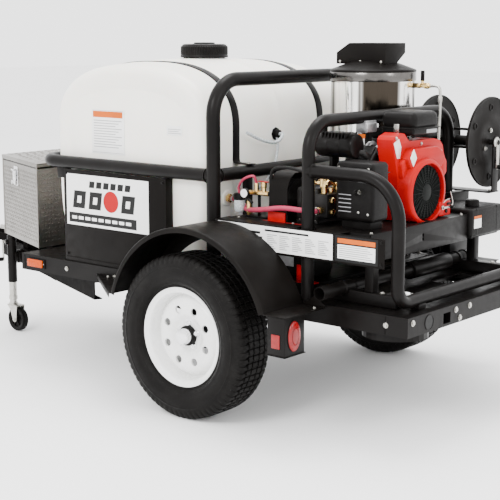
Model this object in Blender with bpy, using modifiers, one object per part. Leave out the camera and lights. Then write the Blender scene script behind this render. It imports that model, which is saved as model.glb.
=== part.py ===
"""Trailer-mounted hot-water pressure washer, modelled at rest on its tyres and jack wheel.

+X points to the trailer's rear, -X to its coupler, -Y is its left side and +Z is up. The origin lies on the
ground under the middle of the trailer.
"""

from math import acos, atan2, cos, hypot, pi, radians, sin, tan

import bmesh
import bpy
from mathutils import Matrix, Vector

GAP = 0.0003
CLEAR = 0.0006

# Trailer
AXLE_X = 0.664
TRACK_HALF = 0.7075
FRAME_FRONT = AXLE_X - 1.285
FRAME_REAR = AXLE_X + 0.917
FRAME_HALF = 0.55
FRAME_TOP = 0.515
CHANNEL = 0.078
CHANNEL_FLANGE = 0.038
CHANNEL_WEB = 0.005
FRAME_BOTTOM = FRAME_TOP - CHANNEL
ON_FRAME = FRAME_TOP + GAP
DECK = 0.004
TONGUE_REAR = AXLE_X - 0.78
TONGUE_HEIGHT = 0.084
TONGUE_TOP = FRAME_BOTTOM - GAP
TONGUE_ANGLE = radians(21.7)
TONGUE_RUN = 1.30
NOSE_X = AXLE_X - 2.245

# Wheels and fenders
WHEEL_X = AXLE_X - 0.02
TYRE_RADIUS = 0.344
TYRE_WIDTH = 0.205
BEAD_RADIUS = 0.186
RIM_RADIUS = 0.207
SPINDLE_RADIUS = 0.02
WHEEL_STEPS = 22
AXLE_Z = TYRE_RADIUS * cos(pi / WHEEL_STEPS)
FENDER_X = AXLE_X + 0.02
FENDER_Z = 0.36
FENDER_RADIUS = 0.4375
FENDER_OUT = 0.81
FENDER_IN = 0.5603
SHEET = 0.004
FENDER_FRONT = 15.5
FENDER_REAR = 19.5
SHELF_Z = FENDER_Z + FENDER_RADIUS * sin(radians(FENDER_REAR))

# Tank and its guard
GUARD_FRONT = AXLE_X - 1.14
GUARD_REAR = AXLE_X - 0.063
GUARD_HALF = 0.53
GUARD_Z = 0.975
GUARD_TUBE = 0.0285
HOOP_TUBE = 0.03
HOOP_Z = 1.37
TANK_X = AXLE_X - 0.605
TANK_HALF_LENGTH = 0.47
TANK_HALF_WIDTH = 0.497
TANK_WAIST = 1.15
TANK_CROWN_END = 0.268
TANK_CROWN = 0.026
TANK_DEPTH = TANK_WAIST - ON_FRAME
TANK_WALL = 0.008
NECK_RADIUS = 0.09
STRAP_Y = 0.30
STRAP_WIDTH = 0.045
STRAP_THICK = 0.005
GROOVE = 0.006

# Skid, engine and pump
CAGE_X = AXLE_X + 0.425
CAGE_REAR = AXLE_X + 0.85
CAGE_HALF = 0.52
CAGE_TUBE = 0.026
CAGE_TOP = 1.22
CAGE_RAIL = 1.03
PLATFORM_TOP = 0.80
PLATFORM_LOW = 0.69
PLATFORM_EDGE = -0.485
SKID_TOP = 0.566
CRANK_Y = -0.03
CRANK_Z = 0.917
PUMP_Y = -0.33
PUMP_Z = 0.885
PULLEY_X = AXLE_X + 0.215
ENGINE_PULLEY = 0.055
PUMP_PULLEY = 0.075
HEATER_X = AXLE_X + 0.19
HEATER_Y = 0.255
HEATER_RADIUS = 0.186
HEATER_TOP = 1.392

# Hose reel
REEL_Y = 0.605
REEL_Z = 1.077
REEL_RADIUS = 0.203
REEL_FRONT = AXLE_X + 0.315
REEL_REAR = AXLE_X + 0.59

# Toolbox
BOX_REAR = AXLE_X - 1.30
BOX_LENGTH = 0.50
BOX_HALF = 0.43
BOX_LOW = 0.52
BOX_TOP = 0.915
BOX_WALL = 0.004

# Jack
JACK_POINT = Vector((AXLE_X - 1.75, -0.1634))
JACK_OUT = 0.056
JACK_Z = 0.394
JACK_TUBE = 0.024
CASTER_RADIUS = 0.065
CASTER_STEPS = 18
CASTER_Z = CASTER_RADIUS * cos(pi / CASTER_STEPS)
CASTER_TRAIL = 0.035

bpy_data = bpy.data
for old in list(bpy_data.objects):
    bpy_data.objects.remove(old, do_unlink=True)

PARTS = bpy_data.collections.new("trailer_pressure_washer")
TOOLS = bpy_data.collections.new("cutters")
TOOLS.hide_render = True
for group in (PARTS, TOOLS):
    bpy.context.scene.collection.children.link(group)


# Building blocks


def paint(name, colour, roughness, metallic=0.0):
    material = bpy_data.materials.new(name)
    material.use_nodes = True
    shader = material.node_tree.nodes["Principled BSDF"]
    shader.inputs["Base Color"].default_value = (*colour, 1.0)
    shader.inputs["Roughness"].default_value = roughness
    shader.inputs["Metallic"].default_value = metallic
    return material


def helper(name, data):
    """A new object among the cutters."""
    obj = bpy_data.objects.new(name, data)
    TOOLS.objects.link(obj)
    obj.hide_render = True
    obj.display_type = "WIRE"
    return obj


def from_bmesh(name, build):
    mesh = bpy_data.meshes.new(name)
    shape = bmesh.new()
    build(shape)
    bmesh.ops.recalc_face_normals(shape, faces=shape.faces)
    shape.to_mesh(mesh)
    shape.free()
    return helper(name, mesh)


def settled(obj, smooth=True):
    """The object's evaluated mesh as a plain mesh object, welded, in place of the object."""
    bpy.context.view_layer.update()
    graph = bpy.context.evaluated_depsgraph_get()
    mesh = bpy_data.meshes.new_from_object(obj.evaluated_get(graph))
    shape = bmesh.new()
    shape.from_mesh(mesh)
    bmesh.ops.remove_doubles(shape, verts=shape.verts, dist=1e-6)
    bmesh.ops.recalc_face_normals(shape, faces=shape.faces)
    shape.to_mesh(mesh)
    shape.free()
    mesh.transform(obj.matrix_world)
    if smooth:
        mesh.shade_smooth()
        mesh.set_sharp_from_angle(angle=radians(35))
    name = obj.name
    bpy_data.objects.remove(obj, do_unlink=True)
    return helper(name, mesh)


def box(low, high, name="box"):
    low, high = Vector(low), Vector(high)
    size = high - low
    place = Matrix.Translation((low + high) / 2) @ Matrix.Diagonal((*size, 1.0))
    return from_bmesh(name, lambda shape: bmesh.ops.create_cube(shape, size=1.0, matrix=place))


def rod(start, end, radius, sides=24, end_radius=None, name="rod"):
    """A cylinder or a cone between two points."""
    start, end = Vector(start), Vector(end)
    along = end - start
    turn = along.to_track_quat("Z", "Y").to_matrix().to_4x4()
    place = Matrix.Translation((start + end) / 2) @ turn
    top = radius if end_radius is None else end_radius

    def build(shape):
        bmesh.ops.create_cone(
            shape, cap_ends=True, segments=sides, radius1=radius, radius2=top, depth=along.length, matrix=place
        )

    obj = from_bmesh(name, build)
    obj.data.shade_smooth()
    obj.data.set_sharp_from_angle(angle=radians(35))
    return obj


PLANES = {
    "X": Matrix(((0, 0, 1, 0), (1, 0, 0, 0), (0, 1, 0, 0), (0, 0, 0, 1))),
    "Y": Matrix(((1, 0, 0, 0), (0, 0, -1, 0), (0, 1, 0, 0), (0, 0, 0, 1))),
    "Z": Matrix.Identity(4),
}


def plate(outline, low, high, axis, holes=(), name="plate"):
    """A flat outline, in the other two axes, filled and carried from low to high along the axis."""
    curve = bpy_data.curves.new(name, "CURVE")
    curve.dimensions = "2D"
    curve.fill_mode = "BOTH"
    curve.extrude = (high - low) / 2
    for loop in (outline, *holes):
        spline = curve.splines.new("POLY")
        spline.points.add(len(loop) - 1)
        for point, (u, v) in zip(spline.points, loop):
            point.co = (u, v, 0.0, 1.0)
        spline.use_cyclic_u = True
    obj = helper(name, curve)
    middle = Vector({"X": (1, 0, 0), "Y": (0, 1, 0), "Z": (0, 0, 1)}[axis]) * (low + high) / 2
    obj.matrix_world = Matrix.Translation(middle) @ PLANES[axis]
    return settled(obj)


def arc(centre, radius, start, end, steps):
    """Points on a circle, angles in degrees."""
    angles = [radians(start + (end - start) * i / steps) for i in range(steps + 1)]
    return [(centre[0] + radius * cos(a), centre[1] + radius * sin(a)) for a in angles]


def circle(centre, radius, steps=24):
    return arc(centre, radius, 0.0, 360.0 * (steps - 1) / steps, steps - 1)


def rounded(corners, radius, steps=5, closed=True):
    """A path through the corners with each corner rounded; points are vectors."""
    corners = [Vector(c) for c in corners]
    count = len(corners)
    path = []
    for i, corner in enumerate(corners):
        if not closed and i in (0, count - 1):
            path.append(corner)
            continue
        before = (corners[i - 1] - corner).normalized()
        after = (corners[(i + 1) % count] - corner).normalized()
        half = before.angle(after) / 2
        bend = radius[i] if isinstance(radius, (list, tuple)) else radius
        centre = corner + (before + after).normalized() * bend / sin(half)
        first = corner + before * bend / tan(half) - centre
        last = corner + after * bend / tan(half) - centre
        swing = first.angle(last)
        for k in range(steps + 1):
            t = k / steps
            path.append(centre + (first * sin((1 - t) * swing) + last * sin(t * swing)) / sin(swing))
    return path


def tube(path, radius, closed=False, resolution=3, name="tube"):
    """A round bar along a path of points."""
    curve = bpy_data.curves.new(name, "CURVE")
    curve.dimensions = "3D"
    curve.bevel_depth = radius
    curve.bevel_resolution = resolution
    curve.use_fill_caps = not closed
    spline = curve.splines.new("POLY")
    spline.points.add(len(path) - 1)
    for point, place in zip(spline.points, path):
        point.co = (*place, 1.0)
    spline.use_cyclic_u = closed
    return settled(helper(name, curve))


def turned(profile, centre, direction, steps=32, ring=False, name="turned"):
    """A profile of (radius, height) turned round the line through centre along direction."""
    mesh = bpy_data.meshes.new(name)
    edges = [(i, i + 1) for i in range(len(profile) - 1)]
    if ring:
        edges.append((len(profile) - 1, 0))
    mesh.from_pydata([(r, 0.0, z) for r, z in profile], edges, [])
    obj = helper(name, mesh)
    screw = obj.modifiers.new("Screw", "SCREW")
    screw.steps = screw.render_steps = steps
    screw.use_merge_vertices = True
    screw.merge_threshold = 0.0001
    turn = Vector(direction).to_track_quat("Z", "Y").to_matrix().to_4x4()
    obj.matrix_world = Matrix.Translation(centre) @ turn
    return settled(obj)


def boolean(target, others, operation):
    for other in others:
        modifier = target.modifiers.new(operation.lower(), "BOOLEAN")
        modifier.operation = operation
        modifier.object = other
        modifier.solver = "EXACT"
    return target


def fused(first, *others):
    return boolean(first, others, "UNION")


def cut(target, *cutters):
    return boolean(target, cutters, "DIFFERENCE")


def softened(obj, width, segments=2, angle=30.0):
    bevel = obj.modifiers.new("Bevel", "BEVEL")
    bevel.width = width
    bevel.segments = segments
    bevel.limit_method = "ANGLE"
    bevel.angle_limit = radians(angle)
    return obj


def moved(obj, matrix):
    obj.data.transform(matrix)
    return obj


def node(name, obj, material, pivot=None):
    """Makes the object a sub-part, with its origin at the pivot."""
    TOOLS.objects.unlink(obj)
    PARTS.objects.link(obj)
    obj.name = name
    obj.data.name = name
    obj.hide_render = False
    obj.display_type = "TEXTURED"
    obj.data.materials.clear()
    obj.data.materials.append(material)
    if pivot is not None:
        obj.data.transform(Matrix.Translation(-Vector(pivot)))
        obj.location = pivot
    return obj


BLACK = paint("black_powder_coat", (0.02, 0.02, 0.022), 0.45, 0.2)
RUBBER = paint("rubber", (0.015, 0.015, 0.015), 0.85)
WHITE = paint("white_steel", (0.8, 0.8, 0.78), 0.35, 0.1)
POLY = paint("natural_polyethylene", (0.82, 0.79, 0.70), 0.55)
ALUMINIUM = paint("aluminium", (0.6, 0.6, 0.62), 0.3, 1.0)
STEEL = paint("bright_steel", (0.62, 0.62, 0.64), 0.25, 1.0)
MIRROR = paint("polished_stainless", (0.75, 0.74, 0.72), 0.08, 1.0)
RED = paint("red_shroud", (0.6, 0.02, 0.03), 0.35)
LENS = paint("red_lens", (0.4, 0.01, 0.01), 0.2)
AMBER = paint("amber_lens", (0.8, 0.25, 0.01), 0.2)
BRASS = paint("brass", (0.65, 0.45, 0.18), 0.3, 1.0)
PLASTIC = paint("black_plastic", (0.02, 0.02, 0.02), 0.55)
PINK = paint("red_hose", (0.6, 0.15, 0.3), 0.6)


# Trailer


def channel_outline(outer, inward, top, height):
    """A C section whose web stands at outer and whose flanges point inward."""
    low = top - height
    inner = outer + inward * CHANNEL_FLANGE
    face = outer + inward * CHANNEL_WEB
    return [
        (outer, low), (inner, low), (inner, low + CHANNEL_WEB), (face, low + CHANNEL_WEB),
        (face, top - CHANNEL_WEB), (inner, top - CHANNEL_WEB), (inner, top), (outer, top),
    ]


def main_frame():
    pieces = []
    for side in (1, -1):
        rail = channel_outline(side * FRAME_HALF, -side, FRAME_TOP, CHANNEL)
        pieces.append(plate(rail, FRAME_FRONT + CLEAR, FRAME_REAR - CLEAR, "X"))
    for end, inward in ((FRAME_FRONT, 1), (FRAME_REAR, -1)):
        beam = channel_outline(end, inward, FRAME_TOP - CLEAR, CHANNEL - 2 * CLEAR)
        pieces.append(plate(beam, CLEAR - FRAME_HALF, FRAME_HALF - CLEAR, "Y"))
    for x in (-0.62, -0.02, 0.42):
        pieces.append(box((AXLE_X + x, -0.547, 0.452), (AXLE_X + x + 0.05, 0.547, FRAME_TOP - 0.002)))
    deck_top = FRAME_TOP - 0.0004
    pieces.append(box((FRAME_FRONT + 0.01, -0.545, deck_top - DECK), (FRAME_REAR - 0.01, 0.545, deck_top)))
    pocket = (-0.302, -0.24, 0.444, 0.496)
    pieces.append(box((FRAME_REAR - 0.2, pocket[0], pocket[2]), (FRAME_REAR - 0.001, pocket[1], pocket[3])))
    for side in (1, -1):
        pad = (AXLE_X + 0.765, side * 0.40)
        pieces.append(rod((*pad, 0.405), (*pad, 0.432), 0.13, 28))
        pieces.append(rod((*pad, 0.43), (*pad, 0.512), 0.05, 16))
    frame = fused(*pieces)
    cuts = [box((FRAME_REAR - 0.21, pocket[0] + 0.005, pocket[2] + 0.005),
                (FRAME_REAR + 0.01, pocket[1] - 0.005, pocket[3] - 0.005))]
    cuts.append(rod((FRAME_REAR - 0.03, -0.375, 0.475), (FRAME_REAR + 0.01, -0.375, 0.475), 0.009, 12))
    for low in (-0.36, 0.12):
        cuts.append(box((AXLE_X + 0.60, low, 0.40), (AXLE_X + 0.70, low + 0.24, 0.60)))
    return node("main_frame", cut(frame, *cuts), BLACK)


def side_frame(side, point, out=0.0, z=0.0):
    """A frame on a tongue channel's outer face: X runs to the nose, Y outward on the left side, Z up."""
    along = Vector((-cos(TONGUE_ANGLE), sin(TONGUE_ANGLE), 0))
    normal = Vector((-sin(TONGUE_ANGLE), -cos(TONGUE_ANGLE), 0))
    if side > 0:
        along.y, normal.y = -along.y, -normal.y
    place = Vector((point[0], point[1], z)) + normal * out
    matrix = Matrix.Identity(4)
    for column, axis in enumerate((along, normal, Vector((0, 0, 1)))):
        for row in range(3):
            matrix[row][column] = axis[row]
    matrix.translation = place
    return matrix


def face_y(x):
    """Half width of the tongue at x, to the channels' outer faces."""
    return FRAME_HALF - (TONGUE_REAR - x) * tan(TONGUE_ANGLE)


def tongue():
    pieces = []
    length = TONGUE_RUN / cos(TONGUE_ANGLE)
    for side in (-1, 1):
        section = channel_outline(0.0, -1, TONGUE_TOP, TONGUE_HEIGHT)
        rail = plate(section, 0.0, length, "X")
        place = side_frame(side, (TONGUE_REAR, side * FRAME_HALF))
        rail = moved(rail, place)
        if side > 0:
            rail.data.flip_normals()
        pieces.append(rail)
    pieces.append(box((NOSE_X + 0.04, -0.045, 0.43), (NOSE_X + 0.30, 0.045, 0.47)))
    pieces.append(rod((NOSE_X + 0.04, 0, 0.43), (NOSE_X + 0.04, 0, 0.49), 0.04, 24))
    pieces.append(box((NOSE_X + 0.10, -0.012, 0.46), (NOSE_X + 0.17, 0.012, 0.486)))
    for x in (-1.36, -1.72):
        half = face_y(AXLE_X + x) - 0.012
        pieces.append(box((AXLE_X + x - 0.02, -half, 0.42), (AXLE_X + x + 0.02, half, BOX_LOW - GAP)))
    plate_place = side_frame(-1, JACK_POINT, 0.0, JACK_Z)
    pieces.append(moved(rod((0, -0.003, 0), (0, 0.012, 0), 0.036, 20), plate_place))
    body = fused(*pieces)
    socket = rod((NOSE_X + 0.04, 0, 0.40), (NOSE_X + 0.04, 0, 0.472), 0.0262, 24)
    return node("tongue", cut(body, socket), BLACK)


def coupler_latch():
    """The lever that locks the coupler on its ball, hinged across the channel behind the socket."""
    x = NOSE_X + 0.15
    lever = box((x - 0.012, -0.020, 0.4865), (x + 0.13, -0.0125, 0.512))
    handle = box((x + 0.115, -0.020, 0.4865), (x + 0.135, 0.020, 0.496))
    other = box((x - 0.012, 0.0125, 0.4865), (x + 0.13, 0.020, 0.512))
    bar = box((x + 0.02, -0.020, 0.500), (x + 0.04, 0.020, 0.512))
    return node("coupler_latch", fused(lever, handle, other, bar), STEEL, (x, 0.0, 0.494))


def axle():
    beam = box((WHEEL_X - 0.025, -0.59, AXLE_Z - 0.025), (WHEEL_X + 0.025, 0.59, AXLE_Z + 0.025))
    spindles = []
    for side in (1, -1):
        start = (WHEEL_X, side * 0.58, AXLE_Z)
        spindles.append(rod(start, (WHEEL_X, side * 0.71, AXLE_Z), SPINDLE_RADIUS, 20))
    return node("axle", fused(beam, *spindles), BLACK)


def leaf_spring(side, name):
    """Three curved leaves under the frame rail, with the front and rear hangers."""
    base = AXLE_Z + 0.025 + GAP
    low, high = side * 0.525 - 0.0225, side * 0.525 + 0.0225
    pieces = []
    for level, half in enumerate((0.17, 0.25, 0.34)):
        upper = base + 0.0075 * (level + 1)
        lower = upper - (0.0075 if level == 0 else 0.009)
        steps = [half * k / 5 for k in range(-5, 6)]
        top = [(WHEEL_X + x, upper + 0.26 * x * x) for x in steps]
        bottom = [(WHEEL_X + x, lower + 0.26 * x * x) for x in reversed(steps)]
        trim = 0.0006 * (2 - level)
        pieces.append(plate(top + bottom, low + trim, high - trim, "Y"))
    for end in (-0.335, 0.335):
        pieces.append(box((WHEEL_X + end - 0.02, low + 0.004, 0.405), (WHEEL_X + end + 0.02, high - 0.004,
                          FRAME_BOTTOM - GAP)))
    return node(name, fused(*pieces), BLACK)


def tyre(side, name):
    half = TYRE_WIDTH / 2
    profile = [
        (BEAD_RADIUS, -0.066), (0.205, -0.07), (0.262, -half), (0.325, -0.088), (0.340, -0.075),
        (TYRE_RADIUS, -0.04), (TYRE_RADIUS, 0.04), (0.340, 0.075), (0.325, 0.088), (0.262, half),
        (0.205, 0.07), (BEAD_RADIUS, 0.066),
    ]
    centre = (WHEEL_X, side * TRACK_HALF, AXLE_Z)
    return node(name, turned(profile, centre, (0, side, 0), WHEEL_STEPS, ring=True), RUBBER, centre)


def rim(side, name):
    """A spoked steel rim with its hub, bearing cap and lug nuts; local height points outboard."""
    inner = BEAD_RADIUS - CLEAR
    hub_bore = SPINDLE_RADIUS + GAP
    centre = Vector((WHEEL_X, side * TRACK_HALF, AXLE_Z))
    out = Vector((0, side, 0))
    cap = [(0.0, 0.077), (0.028, 0.073), (0.034, 0.045), (0.042, 0.043), (0.042, 0.025)]
    dish_front = [(0.062, 0.025), (0.090, 0.042), (0.145, 0.040), (0.176, 0.012)]
    barrel = [(0.176, 0.0775), (RIM_RADIUS, 0.0775), (inner, 0.072), (inner, -0.072), (RIM_RADIUS, -0.0775),
              (0.176, -0.0775)]
    dish_back = [(0.176, 0.004), (0.145, 0.034), (0.090, 0.036), (0.07, 0.026)]
    drum = [(0.07, -0.06), (hub_bore, -0.06), (hub_bore, 0.004), (0.0, 0.004)]
    wheel = turned(cap + dish_front + barrel + dish_back + drum, centre, (0, side, 0), WHEEL_STEPS)
    nuts = []
    for k in range(5):
        a = 2 * pi * k / 5 + pi / 2
        place = centre + Vector((0.0505 * cos(a), 0, 0.0505 * sin(a)))
        nuts.append(rod(place + out * 0.018, place + out * 0.042, 0.0105, 6))
    vents = []
    for k in range(8):
        a = 2 * pi * (k + 0.5) / 8
        place = centre + Vector((0.113 * cos(a), 0, 0.113 * sin(a)))
        vents.append(rod(place + out * -0.03, place + out * 0.08, 0.016, 8))
    return node(name, cut(fused(wheel, *nuts), *vents), WHITE, centre)


def fender(side, name):
    middle = (FENDER_X, FENDER_Z)
    first, last = FENDER_REAR, 180 - FENDER_FRONT
    outer = arc(middle, FENDER_RADIUS, first, last, 18)
    sheet = plate(outer + arc(middle, FENDER_RADIUS - SHEET, last, first, 18), FENDER_IN, FENDER_OUT, "Y")
    skirt = plate(arc(middle, FENDER_RADIUS - 0.002, 16.5, 163.5, 18) + arc(middle, 0.37, 163.5, 16.5, 18),
                  FENDER_IN + 0.0005, FENDER_IN + SHEET, "Y")
    tip = FENDER_X - FENDER_RADIUS * cos(radians(FENDER_FRONT))
    step_z = FENDER_Z + FENDER_RADIUS * sin(radians(FENDER_FRONT))
    gusset = plate([(AXLE_X - 0.76, FRAME_HALF + GAP), (tip + 0.006, FRAME_HALF + GAP), (tip + 0.006, 0.809),
                    (tip - 0.012, 0.809)], step_z - 0.003, step_z + 0.0015, "Z")
    tail = FENDER_X + FENDER_RADIUS * cos(radians(FENDER_REAR))
    shelf = box((tail - 0.008, FENDER_IN + 0.001, SHELF_Z - 0.003), (AXLE_X + 0.545, 0.809, SHELF_Z + 0.0015))
    tabs = [box((AXLE_X + x, FRAME_HALF + GAP, 0.45), (AXLE_X + x + 0.05, FENDER_IN + 0.003, 0.505))
            for x in (-0.37, 0.36)]
    whole = fused(sheet, skirt, gusset, shelf, *tabs)
    if side < 0:
        whole = flipped(whole)
    return node(name, whole, BLACK)


def flipped(obj):
    """The same solid mirrored to the trailer's left side."""
    whole = settled(obj)
    whole.data.transform(Matrix.Diagonal((1, -1, 1, 1)))
    whole.data.flip_normals()
    return whole


def light_box(side, name):
    top = SHELF_Z - 0.003 - GAP
    body = box((AXLE_X + 0.452, 0.683, 0.351), (AXLE_X + 0.537, 0.806, top))
    flange = box((AXLE_X + 0.448, 0.679, 0.350), (AXLE_X + 0.541, 0.810, 0.3545))
    whole = fused(body, flange)
    if side < 0:
        whole = flipped(whole)
    return node(name, whole, BLACK)


def tail_lamp(side, name):
    turns = [2 * pi * k / 18 for k in range(18)]
    oval = [(side * 0.752 + 0.036 * cos(a), 0.428 + 0.060 * sin(a)) for a in turns]
    lamp = plate(oval, AXLE_X + 0.537 + GAP, AXLE_X + 0.549, "X")
    return node(name, softened(lamp, 0.004), LENS)


def marker_lamp(side, name):
    near = FRAME_HALF + GAP
    low, high = sorted((side * near, side * (near + 0.016)))
    lamp = box((AXLE_X - 1.241, low, 0.455), (AXLE_X - 1.115, high, 0.50))
    return node(name, softened(lamp, 0.005), AMBER)


# Jack


def jack_frame(z=0.0):
    return side_frame(-1, JACK_POINT, JACK_OUT, z)


JACK_AXIS = jack_frame().translation.copy()


def jack_tube():
    tube_body = rod((0, 0, 0.26), (0, 0, 0.512), JACK_TUBE, 24)
    swivel = rod((0, -JACK_OUT + 0.012 + GAP, JACK_Z), (0, -0.01, JACK_Z), 0.036, 20)
    boss = rod((0, 0.015, 0.475), (0, 0.034, 0.475), 0.014, 16)
    whole = fused(tube_body, swivel, boss)
    bore = rod((0, 0, 0.24), (0, 0, 0.505), 0.0203, 24)
    shaft_bore = rod((0, 0.018, 0.475), (0, 0.05, 0.475), 0.0063, 12)
    for piece in (tube_body, swivel, boss, bore, shaft_bore):
        moved(piece, jack_frame())
    pivot = Vector((JACK_AXIS.x, JACK_AXIS.y, JACK_Z))
    return node("jack_tube", cut(whole, bore, shaft_bore), BLACK, pivot)


def jack_leg():
    leg = rod((0, 0, 0.1656), (0, 0, 0.40), 0.02, 20)
    collar = rod((0, 0, 0.1656), (0, 0, 0.185), 0.0225, 20)
    whole = fused(moved(leg, jack_frame()), moved(collar, jack_frame()))
    return node("jack_leg", whole, STEEL, (JACK_AXIS.x, JACK_AXIS.y, 0.1656))


def jack_crank():
    shaft = rod((0, 0.022, 0.475), (0, 0.048, 0.475), 0.006, 12)
    arm = box((-0.009, 0.044, 0.375), (0.009, 0.049, 0.485))
    knob = rod((0, 0.047, 0.385), (0, 0.10, 0.385), 0.011, 14)
    for piece in (shaft, arm, knob):
        moved(piece, jack_frame())
    pivot = jack_frame() @ Vector((0, 0.044, 0.475))
    return node("jack_crank", fused(shaft, arm, knob), STEEL, pivot)


def caster_fork():
    """A fork that trails behind the jack's axis, with the wheel's axle."""
    x, y = JACK_AXIS.x, JACK_AXIS.y
    wheel_x = x + CASTER_TRAIL
    neck = rod((x, y, 0.138), (x, y, 0.1653), 0.019, 20)
    bridge = box((x - 0.021, y - 0.027, 0.134), (wheel_x + 0.022, y + 0.027, 0.1405))
    legs = []
    for side in (-1, 1):
        low, high = sorted((y + side * 0.0235, y + side * 0.027))
        leg = [(x - 0.021, 0.14), (wheel_x - 0.014, CASTER_Z), (wheel_x - 0.008, CASTER_Z - 0.012),
               (wheel_x + 0.008, CASTER_Z - 0.012), (wheel_x + 0.014, CASTER_Z), (wheel_x + 0.022, 0.14)]
        legs.append(plate(leg, low, high, "Y"))
    pin = rod((wheel_x, y - 0.031, CASTER_Z), (wheel_x, y + 0.031, CASTER_Z), 0.006, 12)
    return node("caster_fork", fused(neck, bridge, *legs, pin), STEEL, (x, y, 0.1653))


def caster_wheel():
    centre = Vector((JACK_AXIS.x + CASTER_TRAIL, JACK_AXIS.y, CASTER_Z))
    profile = [(0.0066, 0.021), (0.018, 0.014), (0.048, 0.014), (0.058, 0.019), (CASTER_RADIUS, 0.012),
               (CASTER_RADIUS, -0.012), (0.058, -0.019), (0.048, -0.014), (0.018, -0.014), (0.0066, -0.021)]
    return node("caster_wheel", turned(profile, centre, (0, 1, 0), CASTER_STEPS, ring=True), PLASTIC, centre)


# Toolbox


def box_outline(inset=0.0):
    slope = tan(TONGUE_ANGLE)
    rear, front = BOX_REAR - inset, BOX_REAR - BOX_LENGTH + inset
    slant = inset / cos(TONGUE_ANGLE)

    def half(x):
        return BOX_HALF - (BOX_REAR - x) * slope - slant

    return [(rear, -half(rear)), (rear, half(rear)), (front, half(front)), (front, -half(front))]


LATCH_X = BOX_REAR - 0.30
LATCH_POINT = (LATCH_X, -(BOX_HALF - (BOX_REAR - LATCH_X) * tan(TONGUE_ANGLE)))


def toolbox_body():
    shell = plate(box_outline(), BOX_LOW, BOX_TOP, "Z")
    inside = plate(box_outline(BOX_WALL), BOX_LOW + BOX_WALL, BOX_TOP + 0.05, "Z")
    place = side_frame(-1, LATCH_POINT)
    keeper = moved(box((-0.028, -0.002, 0.795), (0.028, 0.004, 0.893)), place)
    ears = [moved(box((x, 0.0, 0.80), (x + 0.004, 0.018, 0.822)), place) for x in (-0.026, 0.022)]
    body = cut(shell, inside)
    return node("toolbox_body", fused(body, keeper, *ears), ALUMINIUM)


def toolbox_lid():
    low = BOX_TOP + GAP
    lid = plate(box_outline(-0.004), low, low + 0.022, "Z")
    hinge_x = BOX_REAR + 0.012
    barrel = rod((hinge_x, -0.34, low + 0.006), (hinge_x, 0.34, low + 0.006), 0.006, 12)
    web = box((BOX_REAR, -0.34, low + 0.002), (hinge_x, 0.34, low + 0.010))
    lid = fused(lid, web, barrel)
    return node("toolbox_lid", lid, ALUMINIUM, (hinge_x, 0.0, low + 0.006))


def toolbox_latch():
    """A draw latch: the lever turns on a pin between the keeper's ears."""
    place = side_frame(-1, LATCH_POINT)
    lever = moved(box((-0.020, 0.0085, 0.8075), (0.020, 0.0125, 0.880)), place)
    lip = moved(box((-0.020, 0.0085, 0.872), (0.020, 0.021, 0.880)), place)
    pin = moved(rod((-0.0215, 0.0105, 0.811), (0.0215, 0.0105, 0.811), 0.005, 12), place)
    pivot = place @ Vector((0, 0.0105, 0.811))
    return node("toolbox_latch", fused(lever, lip, pin), STEEL, pivot)


# Tank


def tank_ring(y, inset, steps=28):
    """The tank's outline, in X and Z, at a station across its width."""
    crown = TANK_CROWN_END + TANK_CROWN * (1 - (y / TANK_HALF_WIDTH) ** 2)
    half = TANK_HALF_LENGTH - inset
    points = []
    for k in range(steps):
        a = 2 * pi * (k + 0.5) / steps
        c, s = cos(a), sin(a)
        power = 2.5 if s > 0 else 5.0
        height = crown - inset if s > 0 else TANK_DEPTH - inset
        reach = (abs(c) ** power + abs(s) ** power) ** (-1 / power)
        points.append((TANK_X + half * c * reach, y, TANK_WAIST + height * s * reach))
    return points


def lofted(rings, name="loft"):
    """A closed skin over a row of rings with equal point counts."""
    def build(shape):
        rows = [[shape.verts.new(p) for p in ring] for ring in rings]
        count = len(rows[0])
        for first, second in zip(rows, rows[1:]):
            for k in range(count):
                shape.faces.new((first[k], first[(k + 1) % count], second[(k + 1) % count], second[k]))
        shape.faces.new(rows[0])
        shape.faces.new(list(reversed(rows[-1])))

    return from_bmesh(name, build)


def tank():
    edge = [(TANK_HALF_WIDTH, 0.045), (0.488, 0.022), (0.470, 0.008), (0.440, 0.0)]
    groove = [(STRAP_Y + 0.034, 0.0), (STRAP_Y + 0.028, GROOVE), (STRAP_Y - 0.028, GROOVE), (STRAP_Y - 0.034, 0.0)]
    half = edge + groove
    stations = [(-y, inset) for y, inset in half] + [(y, inset) for y, inset in reversed(half)]
    shell = lofted([tank_ring(y, inset) for y, inset in stations], "tank_skin")
    crown_z = TANK_WAIST + TANK_CROWN_END + TANK_CROWN
    mouth = (TANK_X + 0.017, 0.0)
    neck = rod((*mouth, crown_z - 0.03), (*mouth, crown_z + 0.018), NECK_RADIUS, 32)
    outlet = rod((TANK_X + 0.46, -0.36, 0.86), (TANK_X + 0.49, -0.36, 0.86), 0.018, 16)
    inner = [(-0.480, 0.06), (-0.44, TANK_WALL + GROOVE), (0.44, TANK_WALL + GROOVE), (0.480, 0.06)]
    hollow = lofted([tank_ring(y, inset, 14) for y, inset in inner], "tank_hollow")
    mouth_hole = rod((*mouth, crown_z - 0.08), (*mouth, crown_z + 0.05), NECK_RADIUS - 0.008, 32)
    body = cut(fused(shell, neck, outlet), hollow, mouth_hole)
    return node("tank", body, POLY)


def tank_lid():
    low = TANK_WAIST + TANK_CROWN_END + TANK_CROWN + 0.0025
    x = TANK_X + 0.017
    profile = [
        (0.0, 0.071), (0.05, 0.071), (0.06, 0.064), (0.092, 0.064), (0.104, 0.060), (0.110, 0.052), (0.112, 0.012),
        (0.108, 0.0), (NECK_RADIUS + 0.002, 0.0), (NECK_RADIUS + 0.002, 0.020), (0.0, 0.020),
    ]
    return node("tank_lid", turned(profile, (x, 0, low), (0, 0, 1), 24), PLASTIC, (x, 0, low))


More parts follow.
